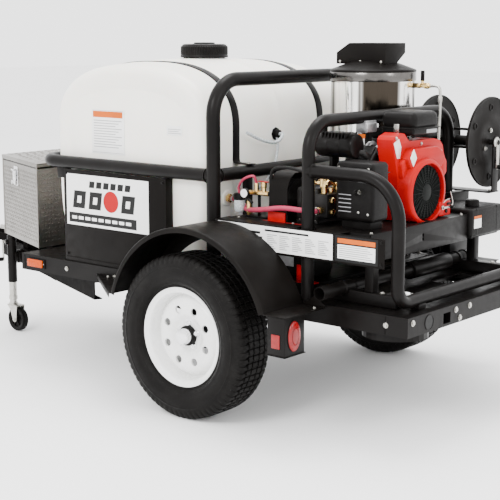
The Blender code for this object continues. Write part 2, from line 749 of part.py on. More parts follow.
def tank_strap(side, name):
    """A flat bar from the guard's front rail, over the tank in its groove, to the rear rail."""
    rail_top = GUARD_Z + GUARD_TUBE + GAP
    arch = [(x, z) for x, _, z in tank_ring(side * STRAP_Y, GROOVE - 0.002) if z > rail_top + 0.03]
    arch.sort(key=lambda p: atan2(p[1] - TANK_WAIST + 0.3, p[0] - TANK_X))
    outer = []
    for x, z in arch:
        away = Vector((x - TANK_X, (z - TANK_WAIST) * 1.4 if z > TANK_WAIST else 0.0)).normalized()
        outer.append((x + away.x * STRAP_THICK, z + away.y * STRAP_THICK))
    rear, front = GUARD_REAR + 0.012, GUARD_FRONT - 0.012
    foot = [(rear, rail_top + STRAP_THICK), (rear, rail_top), (arch[0][0], rail_top)]
    head = [(arch[-1][0], rail_top), (front, rail_top), (front, rail_top + STRAP_THICK)]
    top_rear = [(outer[0][0], rail_top + STRAP_THICK)]
    top_front = [(outer[-1][0], rail_top + STRAP_THICK)]
    outline = foot + arch + head + top_front + list(reversed(outer)) + top_rear
    low = side * STRAP_Y - STRAP_WIDTH / 2
    return node(name, plate(outline, low, low + STRAP_WIDTH, "Y"), BLACK)


def tank_guard():
    corners = [(GUARD_REAR, -GUARD_HALF, GUARD_Z), (GUARD_FRONT, -GUARD_HALF, GUARD_Z),
               (GUARD_FRONT, GUARD_HALF, GUARD_Z), (GUARD_REAR, GUARD_HALF, GUARD_Z)]
    ring = tube(rounded(corners, 0.10, 4, closed=False), GUARD_TUBE)
    cross = rod((GUARD_REAR, -GUARD_HALF, GUARD_Z), (GUARD_REAR, GUARD_HALF, GUARD_Z), GUARD_TUBE - CLEAR, 12)
    feet = [(GUARD_REAR, -GUARD_HALF, ON_FRAME), (GUARD_REAR, -GUARD_HALF, HOOP_Z),
            (GUARD_REAR, GUARD_HALF, HOOP_Z), (GUARD_REAR, GUARD_HALF, ON_FRAME)]
    hoop = tube(rounded(feet, 0.15, 5, closed=False), HOOP_TUBE)
    posts = [box((GUARD_REAR - 0.012, side * 0.31 - 0.022, ON_FRAME), (GUARD_REAR + 0.012, side * 0.31 + 0.022, GUARD_Z))
             for side in (1, -1)]
    return node("tank_guard", fused(hoop, ring, cross, *posts), BLACK)


def side_panel(side, name):
    low, high = sorted((side * 0.541, side * 0.545))
    top = GUARD_Z - GUARD_TUBE - 0.001
    sheet = box((AXLE_X - 0.975, low, ON_FRAME), (AXLE_X - 0.325, high, top))
    inner, outer = sorted((side * 0.500, side * 0.543))
    returns = [box((x, inner, ON_FRAME), (x + 0.004, outer, top)) for x in (AXLE_X - 0.974, AXLE_X - 0.330)]
    return node(name, fused(sheet, *returns), BLACK)


# Skid


def skid_base():
    pieces = []
    for y in (-0.43, 0.43):
        pieces.append(box((AXLE_X - 0.03, y - 0.025, ON_FRAME), (AXLE_X + 0.80, y + 0.025, SKID_TOP)))
    for x in (0.0, 0.36):
        pieces.append(box((AXLE_X + x, -0.44, ON_FRAME + 0.003), (AXLE_X + x + 0.05, 0.44, SKID_TOP - 0.003)))
    pieces.append(box((AXLE_X - 0.02, -0.44, SKID_TOP - 0.004), (AXLE_X + 0.40, 0.45, SKID_TOP - 0.0005)))
    cross = (AXLE_X + 0.55, 0.57)
    pieces.append(rod((cross[0], -0.61, cross[1]), (cross[0], 0.54, cross[1]), 0.0275, 20))
    pieces.append(rod((cross[0], 0.02, cross[1]), (cross[0], 0.32, cross[1]), 0.038, 20))
    pieces.append(box((AXLE_X + 0.60, 0.41, SKID_TOP - 0.01), (AXLE_X + 0.64, 0.45, PLATFORM_LOW + 0.006)))
    pieces.append(box((AXLE_X + 0.52, 0.27, PLATFORM_LOW), (AXLE_X + 0.70, 0.50, PLATFORM_LOW + 0.006)))
    plate_z = REEL_Z - REEL_RADIUS - 0.022
    pieces.append(box((AXLE_X + 0.4585, 0.44, ON_FRAME + 0.02), (AXLE_X + 0.496, 0.60, plate_z + 0.003)))
    front, rear = REEL_FRONT - 0.033, REEL_REAR + 0.027
    pieces.append(box((front, 0.555, plate_z), (rear + 0.006, 0.64, plate_z + 0.006)))
    for x in (front, rear):
        pieces.append(box((x, REEL_Y - 0.025, plate_z), (x + 0.006, REEL_Y + 0.025, REEL_Z + 0.03)))
    whole = fused(*pieces)
    open_end = rod((cross[0], -0.63, cross[1]), (cross[0], -0.50, cross[1]), 0.0235, 20)
    bore = rod((front - 0.02, REEL_Y, REEL_Z), (rear + 0.03, REEL_Y, REEL_Z), 0.0126, 16)
    return node("skid_base", cut(whole, open_end, bore), BLACK)


def roll_cage():
    posts = [(CAGE_X, -CAGE_HALF, ON_FRAME), (CAGE_X, -CAGE_HALF, CAGE_TOP), (CAGE_X, CAGE_HALF, CAGE_TOP),
             (CAGE_X, CAGE_HALF, ON_FRAME)]
    arch = tube(rounded(posts, 0.12, 5, closed=False), CAGE_TUBE)
    rail = [(CAGE_X, -CAGE_HALF - 0.001, CAGE_RAIL), (CAGE_REAR, -CAGE_HALF - 0.001, CAGE_RAIL),
            (CAGE_REAR, -CAGE_HALF - 0.001, 0.553), (CAGE_REAR, 0.545, 0.553)]
    loop = tube(rounded(rail, [0, 0.17, 0.07, 0], 5, closed=False), CAGE_TUBE)
    saddles = [box((CAGE_REAR - 0.02, y, ON_FRAME), (CAGE_REAR + 0.02, y + 0.05, 0.545)) for y in (-0.40, 0.36)]
    return node("roll_cage", fused(arch, loop, *saddles), BLACK)


def engine_platform():
    back, front = AXLE_X + 0.70, AXLE_X - 0.025
    corner = AXLE_X + 0.40
    outline = [(front, PLATFORM_EDGE), (back, PLATFORM_EDGE), (back, 0.235), (corner, 0.235), (corner, 0.052), (front, 0.052)]
    top = plate(outline, PLATFORM_TOP - SHEET, PLATFORM_TOP, "Z")
    skirts = [box((back - SHEET, PLATFORM_EDGE, PLATFORM_LOW), (back, 0.235, PLATFORM_TOP - 0.002)),
              box((front, PLATFORM_EDGE, PLATFORM_LOW), (back, PLATFORM_EDGE + SHEET, PLATFORM_TOP - 0.002))]
    legs = [box((AXLE_X + x, y, SKID_TOP + GAP), (AXLE_X + x + 0.04, y + 0.04, PLATFORM_TOP - 0.002))
            for x, y in ((0.01, -0.45), (0.65, -0.45))]
    legs.append(box((AXLE_X + 0.43, 0.19, 0.609), (AXLE_X + 0.47, 0.233, PLATFORM_TOP - 0.002)))
    slot = [(v, w) for v, w in arc((-0.11, 0.755), 0.006, 0, 180, 6) + arc((-0.11, 0.735), 0.006, 180, 360, 6)]
    hole = plate(slot, back - 0.02, back + 0.02, "X")
    return node("engine_platform", cut(fused(top, *skirts, *legs), hole), BLACK)


def skid_panel():
    sheet = box((AXLE_X - 0.03, -0.5598, PLATFORM_LOW), (AXLE_X + 0.815, -0.5568, 0.8033))
    flanges = [box((AXLE_X + low, -0.559, 0.8003), (AXLE_X + high, -0.47, 0.8033))
               for low, high in ((-0.03, 0.38), (0.47, 0.60))]
    return node("skid_panel", fused(sheet, *flanges), BLACK)


# Engine


def engine_block():
    x = AXLE_X
    on_platform = PLATFORM_TOP + GAP
    case = box((x + 0.275, -0.17, on_platform), (x + 0.51, 0.07, 0.985))
    plate_disc = rod((x + 0.50, CRANK_Y, CRANK_Z + 0.004), (x + 0.53, CRANK_Y, CRANK_Z + 0.004), 0.112, 32)
    pieces = [case, plate_disc]
    for side in (-1, 1):
        lean = Matrix.Translation((x + 0.435, CRANK_Y, CRANK_Z)) @ Matrix.Rotation(-side * pi / 4, 4, "X")
        pieces.append(moved(box((-0.063, -0.05, 0.02), (0.063, 0.05, 0.19)), lean))
        for k in range(3):
            z = 0.095 + 0.026 * k
            pieces.append(moved(box((-0.069, -0.06, z), (0.069, 0.06, z + 0.009)), lean))
        pieces.append(moved(box((-0.066, -0.055, 0.188), (0.066, 0.055, 0.222)), lean))
    pieces.append(box((x + 0.38, CRANK_Y - 0.05, 0.96), (x + 0.48, CRANK_Y + 0.05, 1.129)))
    whole = fused(*pieces)
    bore = rod((x + 0.26, CRANK_Y, CRANK_Z), (x + 0.55, CRANK_Y, CRANK_Z), 0.0186, 20)
    return node("engine_block", cut(whole, bore), PLASTIC)


def fan_shroud():
    x = AXLE_X
    ring = (CRANK_Y, CRANK_Z)
    back = [(-0.145, 0.806), (0.115, 0.806), (0.175, 0.87), (0.185, 1.00), (0.17, 1.10), (0.10, 1.127), (-0.09, 1.127),
            (-0.17, 1.165), (-0.235, 1.135), (-0.215, 1.06), (-0.175, 0.95), (-0.165, 0.87)]
    rear = plate(back, x + 0.531, x + 0.61, "X")
    face = plate(arc(ring, 0.14, -52, 232, 24), x + 0.60, x + 0.672, "X")
    skirt = box((x + 0.60, -0.12, 0.806), (x + 0.665, 0.11, 0.92))
    crown = plate([(-0.12, 0.98), (0.10, 0.98), (0.13, 1.05), (0.07, 1.10), (-0.10, 1.10), (-0.15, 1.06)],
                  x + 0.60, x + 0.655, "X")
    shell = fused(rear, face, skirt, crown)
    well = rod((x + 0.52, *ring), (x + 0.70, *ring), 0.118, 32)
    return node("fan_shroud", cut(shell, well), RED)


def crankshaft():
    """The shaft with its fan and screen behind the engine and its pulley in front of it."""
    x = AXLE_X
    shaft = rod((x + 0.19, CRANK_Y, CRANK_Z), (x + 0.68, CRANK_Y, CRANK_Z), 0.018, 20)
    hub = rod((x + 0.54, CRANK_Y, CRANK_Z), (x + 0.59, CRANK_Y, CRANK_Z), 0.06, 24)
    fan_disc = rod((x + 0.58, CRANK_Y, CRANK_Z), (x + 0.592, CRANK_Y, CRANK_Z), 0.108, 24)
    screen = rod((x + 0.655, CRANK_Y, CRANK_Z), (x + 0.667, CRANK_Y, CRANK_Z), 0.112, 24)
    blades = []
    for k in range(6):
        turn = Matrix.Translation((x, CRANK_Y, CRANK_Z)) @ Matrix.Rotation(2 * pi * k / 6, 4, "X")
        blades.append(moved(box((0.585, 0.045, -0.004), (0.66, 0.104, 0.004)), turn))
    groove = ENGINE_PULLEY
    profile = [(0.0, 0.02), (groove + 0.006, 0.02), (groove + 0.006, 0.013), (groove, 0.011), (groove, -0.011),
               (groove + 0.006, -0.013), (groove + 0.006, -0.02), (0.0, -0.02)]
    pulley = turned(profile, (PULLEY_X, CRANK_Y, CRANK_Z), (1, 0, 0), 22)
    return node("crankshaft", fused(shaft, hub, fan_disc, screen, pulley, *blades), STEEL,
                (PULLEY_X, CRANK_Y, CRANK_Z))


def pump_pulley():
    groove = PUMP_PULLEY
    profile = [(0.0, 0.02), (groove + 0.006, 0.02), (groove + 0.006, 0.013), (groove, 0.011), (groove, -0.011),
               (groove + 0.006, -0.013), (groove + 0.006, -0.02), (0.0, -0.02)]
    pulley = turned(profile, (PULLEY_X, PUMP_Y, PUMP_Z), (1, 0, 0), 22)
    shaft = rod((PULLEY_X, PUMP_Y, PUMP_Z), (AXLE_X + 0.34, PUMP_Y, PUMP_Z), 0.012, 16)
    return node("pump_pulley", fused(pulley, shaft), STEEL, (PULLEY_X, PUMP_Y, PUMP_Z))


def belt_outline(grow):
    """The line round both pulleys, grown by a distance."""
    engine, pump = Vector((CRANK_Y, CRANK_Z)), Vector((PUMP_Y, PUMP_Z))
    small, large = ENGINE_PULLEY + grow, PUMP_PULLEY + grow
    line = engine - pump
    slope = atan2(line.y, line.x) * 180 / pi
    lean = acos((large - small) / hypot(*line)) * 180 / pi
    near = arc(engine, small, slope - lean, slope + lean, 12)
    far = arc(pump, large, slope + lean, slope + 360 - lean, 14)
    return near + far


def drive_belt():
    belt = plate(belt_outline(0.0045), PULLEY_X - 0.009, PULLEY_X + 0.009, "X", holes=(belt_outline(0.0015),))
    return node("drive_belt", belt, RUBBER)


def belt_guard():
    low = PLATFORM_TOP + GAP
    corners = [(-0.445, low), (-0.445, 0.95), (-0.40, 1.0), (0.0, 1.015), (0.046, 0.98), (0.046, low)]
    inner = [(-0.441, low - 0.02), (-0.441, 0.948), (-0.398, 0.996), (-0.002, 1.011), (0.042, 0.978), (0.042, low - 0.02)]
    cover = plate(corners, AXLE_X + 0.165, AXLE_X + 0.262, "X")
    hollow = plate(inner, AXLE_X + 0.169, AXLE_X + 0.30, "X")
    return node("belt_guard", cut(cover, hollow), BLACK)


def air_cleaner():
    x = AXLE_X
    case = softened(box((x + 0.47, -0.095, 1.15), (x + 0.635, 0.10, 1.245)), 0.03, 3)
    stem = box((x + 0.40, CRANK_Y - 0.03, 1.1293), (x + 0.52, CRANK_Y + 0.03, 1.18))
    return node("air_cleaner", fused(case, stem), PLASTIC)


def muffler():
    x = AXLE_X
    can = rod((x + 0.28, -0.25, 1.11), (x + 0.47, -0.25, 1.11), 0.05, 24)
    pipe = rod((x + 0.30, -0.25, 1.15), (x + 0.30, -0.25, 1.185), 0.014, 14)
    return node("muffler", fused(can, pipe), BLACK)


def pump():
    x = AXLE_X
    low = PLATFORM_TOP + GAP
    case = softened(box((x + 0.275, -0.405, low), (x + 0.385, -0.235, 0.945)), 0.008)
    head = box((x + 0.375, -0.41, 0.83), (x + 0.435, -0.25, 0.925))
    caps = [rod((x + 0.43, -0.38 + 0.05 * k, 0.875), (x + 0.45, -0.38 + 0.05 * k, 0.875), 0.016, 6) for k in range(3)]
    fill = rod((x + 0.33, -0.29, 0.94), (x + 0.33, -0.29, 0.965), 0.022, 16)
    riser = rod((x + 0.405, -0.39, 0.92), (x + 0.405, -0.39, 0.975), 0.013, 16)
    valve = box((x + 0.385, -0.41, 0.955), (x + 0.425, -0.37, 0.985))
    unloader = rod((x + 0.405, -0.30, 0.92), (x + 0.405, -0.30, 0.965), 0.016, 16)
    inlet = rod((x + 0.405, -0.405, 0.86), (x + 0.405, -0.43, 0.86), 0.015, 16)
    whole = fused(case, head, *caps, fill, riser, valve, unloader, inlet)
    bore = rod((x + 0.26, PUMP_Y, PUMP_Z), (x + 0.345, PUMP_Y, PUMP_Z), 0.0124, 16)
    return node("pump", cut(whole, bore), BRASS)


def unloader_knob():
    x = AXLE_X + 0.405
    knob = turned([(0.0, 0.04), (0.014, 0.04), (0.018, 0.034), (0.019, 0.004), (0.016, 0.0), (0.0, 0.0)],
                  (x, -0.30, 0.965 + GAP), (0, 0, 1), 16)
    return node("unloader_knob", knob, PLASTIC, (x, -0.30, 0.965 + GAP))


def valve_lever():
    x = AXLE_X + 0.405
    low = 0.985 + GAP
    hub = rod((x, -0.39, low), (x, -0.39, low + 0.014), 0.009, 12)
    arm = box((x - 0.08, -0.398, low + 0.008), (x, -0.382, low + 0.014))
    return node("valve_lever", fused(hub, arm), RED, (x, -0.39, low))


def suction_hose():
    """From the tank's outlet, round the belt guard, to the pump's inlet."""
    start = TANK_X + 0.49 + GAP
    route = [
        (start, -0.36, 0.86), (start + 0.015, -0.36, 0.86), (start + 0.03, -0.36, 0.86), (start + 0.08, -0.376, 0.845),
        (AXLE_X + 0.04, -0.432, 0.834), (AXLE_X + 0.14, -0.466, 0.845), (AXLE_X + 0.25, -0.471, 0.862),
        (AXLE_X + 0.345, -0.473, 0.863), (AXLE_X + 0.384, -0.473, 0.861), (AXLE_X + 0.405, -0.458, 0.86),
        (AXLE_X + 0.405, -0.4442, 0.86), (AXLE_X + 0.405, -0.4303, 0.86),
    ]
    return node("suction_hose", tube(smooth_path(route, 2), 0.011, resolution=2), PINK)


def smooth_path(points, steps):
    """A smooth curve through the points, with the same number of steps between each two."""
    points = [Vector(p) for p in points]
    ends = [points[0] * 2 - points[1]] + points + [points[-1] * 2 - points[-2]]
    path = []
    for a, b, c, d in zip(ends, ends[1:], ends[2:], ends[3:]):
        for k in range(steps):
            t = k / steps
            path.append(b + (c - a) * t / 2 + (a - b * 2.5 + c * 2 - d / 2) * t * t
                        + (b * 3 - a - c * 3 + d) * t * t * t / 2)
    path.append(points[-1])
    return path


def control_box():
    x = AXLE_X
    case = softened(box((x + 0.48, -0.42, 0.83), (x + 0.66, -0.30, 1.065)), 0.02, 3)
    foot = box((x + 0.50, -0.40, PLATFORM_TOP + GAP), (x + 0.64, -0.32, 0.86))
    return node("control_box", fused(case, foot), PLASTIC)


def ignition_key():
    x, z = AXLE_X + 0.60, 0.95
    shank = rod((x, -0.42 - GAP, z), (x, -0.437, z), 0.006, 12)
    bow = box((x - 0.004, -0.462, z - 0.012), (x + 0.004, -0.435, z + 0.012))
    return node("ignition_key", fused(shank, bow), STEEL, (x, -0.42, z))


def throttle_lever():
    """A lever beside the fan, turning on a screw in the shroud's lower corner."""
    x = AXLE_X + 0.672 + GAP
    y, z = 0.0757, 0.843
    hub = rod((x, y, z), (x + 0.012, y, z), 0.009, 14)
    arm = box((x + 0.006, y, z - 0.003), (x + 0.012, y + 0.055, z + 0.003))
    knob = rod((x + 0.004, y + 0.055, z), (x + 0.022, y + 0.055, z), 0.007, 12)
    return node("throttle_lever", fused(hub, arm, knob), STEEL, (x, y, z))


# Heater, fuel and battery


def heater_shell():
    base = SKID_TOP + GAP
    height = HEATER_TOP - base
    wall = 0.004
    profile = [
        (0.0, 0.0), (HEATER_RADIUS, 0.0), (HEATER_RADIUS, height - 0.034), (HEATER_RADIUS + 0.006, height - 0.032),
        (HEATER_RADIUS + 0.006, height), (HEATER_RADIUS - wall, height), (HEATER_RADIUS - wall, wall), (0.0, wall),
    ]
    shell = turned(profile, (HEATER_X, HEATER_Y, base), (0, 0, 1), 30)
    return node("heater_shell", shell, MIRROR)


def heater_coil():
    """The water coil that stands inside the shell."""
    turns, per_turn = 4, 12
    bottom, top = SKID_TOP + 0.10, HEATER_TOP - 0.10
    count = turns * per_turn
    path = []
    for k in range(count + 1):
        a = 2 * pi * k / per_turn
        path.append((HEATER_X + 0.15 * cos(a), HEATER_Y + 0.15 * sin(a), bottom + (top - bottom) * k / count))
    return node("heater_coil", tube(path, 0.012, resolution=1), STEEL)


def heater_hood():
    """The cone over the heater and the rain hood on its flue."""
    x = AXLE_X
    cone = turned([(0.0, 0.05), (0.085, 0.05), (0.185, 0.012), (HEATER_RADIUS + 0.006, 0.006),
                   (HEATER_RADIUS + 0.006, 0.0), (0.0, 0.0)], (HEATER_X, HEATER_Y, HEATER_TOP + GAP), (0, 0, 1), 30)
    outline = [(x + 0.04, 1.425), (x + 0.04, 1.475), (x + 0.108, 1.517), (x + 0.30, 1.517), (x + 0.30, 1.425)]
    hood = plate(outline, 0.185, 0.345, "Y")
    corner = plate([(0.265, 1.42), (0.36, 1.42), (0.36, 1.485)], x, x + 0.35, "X")
    return node("heater_hood", fused(cone, cut(hood, corner)), BLACK)


def burner():
    x = HEATER_X
    head = box((x - 0.06, HEATER_Y + HEATER_RADIUS + 0.0005, 0.63), (x + 0.06, 0.50, 0.75))
    blower = rod((x - 0.05, 0.515, 0.69), (x + 0.05, 0.515, 0.69), 0.045, 20)
    return node("burner", fused(head, blower), BLACK)


def fuel_tank():
    x = AXLE_X
    low = PLATFORM_LOW + 0.006 + GAP
    body = softened(box((x + 0.505, 0.245, low), (x + 0.715, 0.52, 0.82)), 0.012)
    neck = rod((x + 0.662, 0.34, 0.81), (x + 0.662, 0.34, 0.832), 0.024, 20)
    hollow = box((x + 0.512, 0.252, low + 0.006), (x + 0.708, 0.513, 0.813))
    hole = rod((x + 0.662, 0.34, 0.80), (x + 0.662, 0.34, 0.85), 0.020, 20)
    return node("fuel_tank", cut(fused(body, neck), hollow, hole), PLASTIC)


def fuel_cap():
    centre = (AXLE_X + 0.662, 0.34, 0.8206)
    profile = [(0.0, 0.03), (0.028, 0.03), (0.031, 0.026), (0.031, 0.0), (0.0248, 0.0), (0.0248, 0.0125), (0.0, 0.0125)]
    return node("fuel_cap", turned(profile, centre, (0, 0, 1), 24), PLASTIC, centre)


def battery():
    x = AXLE_X
    case = softened(box((x + 0.14, -0.39, SKID_TOP + GAP), (x + 0.32, -0.22, 0.70)), 0.006)
    posts = [rod((x + px, -0.25, 0.695), (x + px, -0.25, 0.715), 0.009, 12) for px in (0.17, 0.29)]
    return node("battery", fused(case, *posts), PLASTIC)


# Hose reel


def hose_reel():
    """Two flanges on an axle, with tie rods that carry the hose, and the winding handle."""
    flanges = []
    for x in (REEL_FRONT, REEL_REAR):
        profile = [(0.0, 0.002), (REEL_RADIUS - 0.006, 0.002), (REEL_RADIUS, 0.006),
                   (REEL_RADIUS, -0.006), (REEL_RADIUS - 0.006, -0.002), (0.0, -0.002)]
        flanges.append(turned(profile, (x, REEL_Y, REEL_Z), (1, 0, 0), 24))
    axle_rod = rod((REEL_FRONT - 0.04, REEL_Y, REEL_Z), (REEL_REAR + 0.045, REEL_Y, REEL_Z), 0.012, 16)
    bars = []
    for k in range(3):
        a = pi / 2 + 2 * pi * k / 3
        y, z = REEL_Y + 0.052 * cos(a), REEL_Z + 0.052 * sin(a)
        bars.append(rod((REEL_FRONT, y, z), (REEL_REAR, y, z), 0.005, 10))
    arm = box((REEL_REAR + 0.038, REEL_Y - 0.008, REEL_Z - 0.12), (REEL_REAR + 0.044, REEL_Y + 0.008, REEL_Z + 0.01))
    knob = rod((REEL_REAR + 0.04, REEL_Y, REEL_Z - 0.11), (REEL_REAR + 0.11, REEL_Y, REEL_Z - 0.11), 0.011, 14)
    return node("hose_reel", fused(*flanges, axle_rod, *bars, arm, knob), BLACK, (REEL_FRONT, REEL_Y, REEL_Z))


main_frame()
tongue()
coupler_latch()
axle()
SIDES = ((-1, "left"), (1, "right"))
for sign, word in SIDES:
    leaf_spring(sign, "leaf_spring_" + word)
    tyre(sign, "tyre_" + word)
    rim(sign, "rim_" + word)
    fender(sign, "fender_" + word)
    light_box(sign, "light_box_" + word)
    tail_lamp(sign, "tail_lamp_" + word)
    marker_lamp(sign, "marker_lamp_" + word)
    side_panel(sign, "side_panel_" + word)
    tank_strap(sign, "tank_strap_" + word)
for make in (
    jack_tube, jack_leg, jack_crank, caster_fork, caster_wheel,
    toolbox_body, toolbox_lid, toolbox_latch,
    tank, tank_lid, tank_guard,
    skid_base, roll_cage, engine_platform, skid_panel,
    engine_block, fan_shroud, crankshaft, pump_pulley, drive_belt, belt_guard, air_cleaner, muffler,
    pump, unloader_knob, valve_lever, suction_hose, control_box, ignition_key, throttle_lever,
    heater_shell, heater_coil, heater_hood, burner, fuel_tank, fuel_cap, battery, hose_reel,
):
    make()
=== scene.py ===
"""Looks for the trailer-mounted pressure washer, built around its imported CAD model.

+X points to the trailer's rear, -Y is its left side, +Z is up and lengths are in metres.
"""

from math import atan2, cos, pi, radians, sin, tan

import bmesh
import bpy
from mathutils import Matrix, Vector


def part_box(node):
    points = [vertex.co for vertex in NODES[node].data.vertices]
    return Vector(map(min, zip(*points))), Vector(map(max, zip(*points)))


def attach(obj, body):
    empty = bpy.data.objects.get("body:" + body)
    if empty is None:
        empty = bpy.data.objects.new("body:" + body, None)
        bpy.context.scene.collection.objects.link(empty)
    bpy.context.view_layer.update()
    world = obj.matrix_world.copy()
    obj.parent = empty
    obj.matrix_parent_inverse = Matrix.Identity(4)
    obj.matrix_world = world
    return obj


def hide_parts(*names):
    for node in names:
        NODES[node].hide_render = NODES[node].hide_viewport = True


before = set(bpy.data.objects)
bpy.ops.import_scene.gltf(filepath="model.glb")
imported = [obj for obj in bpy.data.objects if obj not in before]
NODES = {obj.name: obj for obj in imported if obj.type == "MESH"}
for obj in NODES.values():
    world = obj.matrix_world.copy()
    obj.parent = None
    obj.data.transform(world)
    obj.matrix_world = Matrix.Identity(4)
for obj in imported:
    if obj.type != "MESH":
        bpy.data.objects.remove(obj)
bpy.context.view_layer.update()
SIDES = ((-1, "left"), (1, "right"))
UP, REARWARD, FORWARD, LEFTWARD = (0, 0, 1), (1, 0, 0), (-1, 0, 0), (0, -1, 0)
GRAIN_DEPTH = 0.001
SHARP = 35.0

for node in NODES.values():
    node.data.shade_smooth()
    node.data.set_sharp_from_angle(angle=radians(32))


# ---------------------------------------------------------------- materials


def surface(name, colour, rough, metal=0.0, other=None, patch=4.0, spread=0.08, grain=900.0, bump=0.05,
        stretch=(1, 1, 1), share=(0.45, 0.75), coat=0.0, subsurface=0.0, transmission=0.0, speckle=None,
        specular=0.5):
    """A painted, cast or moulded finish: large patches of a second colour, uneven gloss and a fine grain."""
    made = bpy.data.materials.new(name)
    made.use_nodes = True
    tree = made.node_tree
    shader = tree.nodes["Principled BSDF"]
    link = tree.links.new
    for socket, value in (("Metallic", metal), ("Coat Weight", coat), ("Coat Roughness", 0.12),
            ("Subsurface Weight", subsurface), ("Subsurface Scale", 0.02),
            ("Transmission Weight", transmission), ("IOR", 1.5), ("Specular IOR Level", specular)):
        shader.inputs[socket].default_value = value
    where = tree.nodes.new("ShaderNodeTexCoord")
    place = tree.nodes.new("ShaderNodeMapping")
    place.inputs["Scale"].default_value = stretch
    link(where.outputs["Object"], place.inputs["Vector"])

    def noise(scale, detail):
        texture = tree.nodes.new("ShaderNodeTexNoise")
        texture.inputs["Scale"].default_value = scale
        texture.inputs["Detail"].default_value = detail
        link(place.outputs["Vector"], texture.inputs["Vector"])
        return texture.outputs["Fac"]

    def ramp(value, low, high, first, second):
        node = tree.nodes.new("ShaderNodeMapRange")
        for socket, setting in (("From Min", low), ("From Max", high), ("To Min", first), ("To Max", second)):
            node.inputs[socket].default_value = setting
        link(value, node.inputs["Value"])
        return node.outputs["Result"]

    def mix(factor, first, second):
        node = tree.nodes.new("ShaderNodeMix")
        node.data_type = "RGBA"
        link(factor, node.inputs["Factor"])
        for socket, value in zip((node.inputs["A"], node.inputs["B"]), (first, second)):
            if isinstance(value, tuple):
                socket.default_value = (*value, 1.0)
            else:
                link(value, socket)
        return node.outputs["Result"]

    # the second colour lies in large random patches; stretched tall, as on the stainless, they make upright
    # stripes of painted reflection
    patches = noise(patch, 6.0)
    second = other or tuple(c * 0.8 for c in colour)
    tint = mix(ramp(patches, share[0], share[1], 0.0, 1.0), colour, second)
    if speckle:
        dots = ramp(noise(speckle[1], 2.0), 0.62, 0.72, 0.0, 1.0)
        tint = mix(dots, tint, speckle[0])
    link(tint, shader.inputs["Base Color"])
    link(ramp(noise(patch * 5, 4.0), 0.3, 0.7, rough - spread, rough + spread), shader.inputs["Roughness"])
    relief = tree.nodes.new("ShaderNodeBump")
    relief.inputs["Strength"].default_value = bump
    relief.inputs["Distance"].default_value = GRAIN_DEPTH
    link(noise(grain, 3.0), relief.inputs["Height"])
    link(relief.outputs["Normal"], shader.inputs["Normal"])
    return made


COAT = surface("black_coat", (0.0032, 0.0026, 0.0024), 0.36, other=(0.0058, 0.005, 0.0046), patch=7,
        grain=650, bump=0.1, spread=0.07, specular=0.09)
COAT_FLAT = surface("black_sheet", (0.0034, 0.0027, 0.0023), 0.42, other=(0.006, 0.005, 0.0044), patch=5,
        grain=700, bump=0.12, spread=0.08, specular=0.055)
# a darker copy of the black coat with its reflection nearly cut: painted shade for the tongue
COAT_PAINTED_SHADE = surface("black_coat_painted_shade", (0.003, 0.0025, 0.0023), 0.55, other=(0.0055, 0.0048, 0.0044), patch=7,
        grain=650, bump=0.12, spread=0.07, specular=0.015)
WHITE = surface("white_enamel", (0.8, 0.8, 0.79), 0.26, other=(0.7, 0.7, 0.68), patch=9, spread=0.06,
        grain=500, bump=0.06, coat=0.3)
RUBBER = surface("tyre_rubber", (0.003, 0.0026, 0.0024), 0.5, other=(0.006, 0.0054, 0.005), patch=14,
        spread=0.1, grain=1200, bump=0.35, speckle=((0.012, 0.011, 0.01), 260), specular=0.07)
POLY = surface("natural_poly", (0.88, 0.855, 0.79), 0.4, other=(0.82, 0.79, 0.71), patch=3.0, spread=0.06,
        grain=260, bump=0.14, subsurface=0.12, share=(0.4, 0.8))
TREAD_ALUMINIUM = surface("tread_aluminium", (0.235, 0.222, 0.205), 0.36, metal=1.0,
        other=(0.18, 0.17, 0.156), patch=9, spread=0.06, grain=500, bump=0.08)
ZINC = surface("zinc_steel", (0.46, 0.45, 0.42), 0.32, metal=1.0, other=(0.36, 0.35, 0.31), patch=40,
        spread=0.1, grain=900, bump=0.08)
CHROME = surface("chrome", (0.8, 0.8, 0.81), 0.1, metal=1.0, other=(0.72, 0.72, 0.73), patch=30, spread=0.04,
        grain=900, bump=0.02)
# polished stainless with painted reflections: patches stretched upright give dark and bright stripes in its
# colour
STAINLESS_PAINTED_REFLECTIONS = surface("polished_stainless", (0.92, 0.905, 0.88), 0.16, metal=1.0, other=(0.038, 0.031, 0.024),
        patch=11, spread=0.05, grain=120, bump=0.1, stretch=(1, 1, 0.01), share=(0.45, 0.53))
BRASS = surface("brass", (0.72, 0.5, 0.2), 0.26, metal=1.0, other=(0.5, 0.33, 0.12), patch=60, spread=0.08,
        grain=900, bump=0.06)
RED = surface("red_cover", (0.36, 0.0009, 0.0022), 0.36, other=(0.28, 0.0006, 0.0016), patch=12, spread=0.06,
        grain=500, bump=0.05, specular=0.1)
RED_PAINT = surface("red_paint", (0.36, 0.002, 0.003), 0.38, other=(0.28, 0.0015, 0.002), patch=30, grain=700,
        specular=0.12)
PLASTIC = surface("black_plastic", (0.0038, 0.0033, 0.0031), 0.42, other=(0.0066, 0.006, 0.0056), patch=20,
        grain=1500, bump=0.2, spread=0.08, specular=0.08)
CASTING = surface("engine_casting", (0.006, 0.0055, 0.0052), 0.44, other=(0.014, 0.013, 0.012), patch=30,
        grain=800, bump=0.3, spread=0.1, specular=0.18)
CAST_ALUMINIUM = surface("cast_aluminium", (0.5, 0.5, 0.51), 0.42, metal=0.9, other=(0.34, 0.34, 0.34),
        patch=40, grain=900, bump=0.3, spread=0.1)
RED_LENS = surface("red_lens", (0.2, 0.0012, 0.002), 0.22, other=(0.13, 0.0008, 0.0015), patch=40,
        spread=0.04, grain=220, bump=0.1, coat=0.1, specular=0.3)
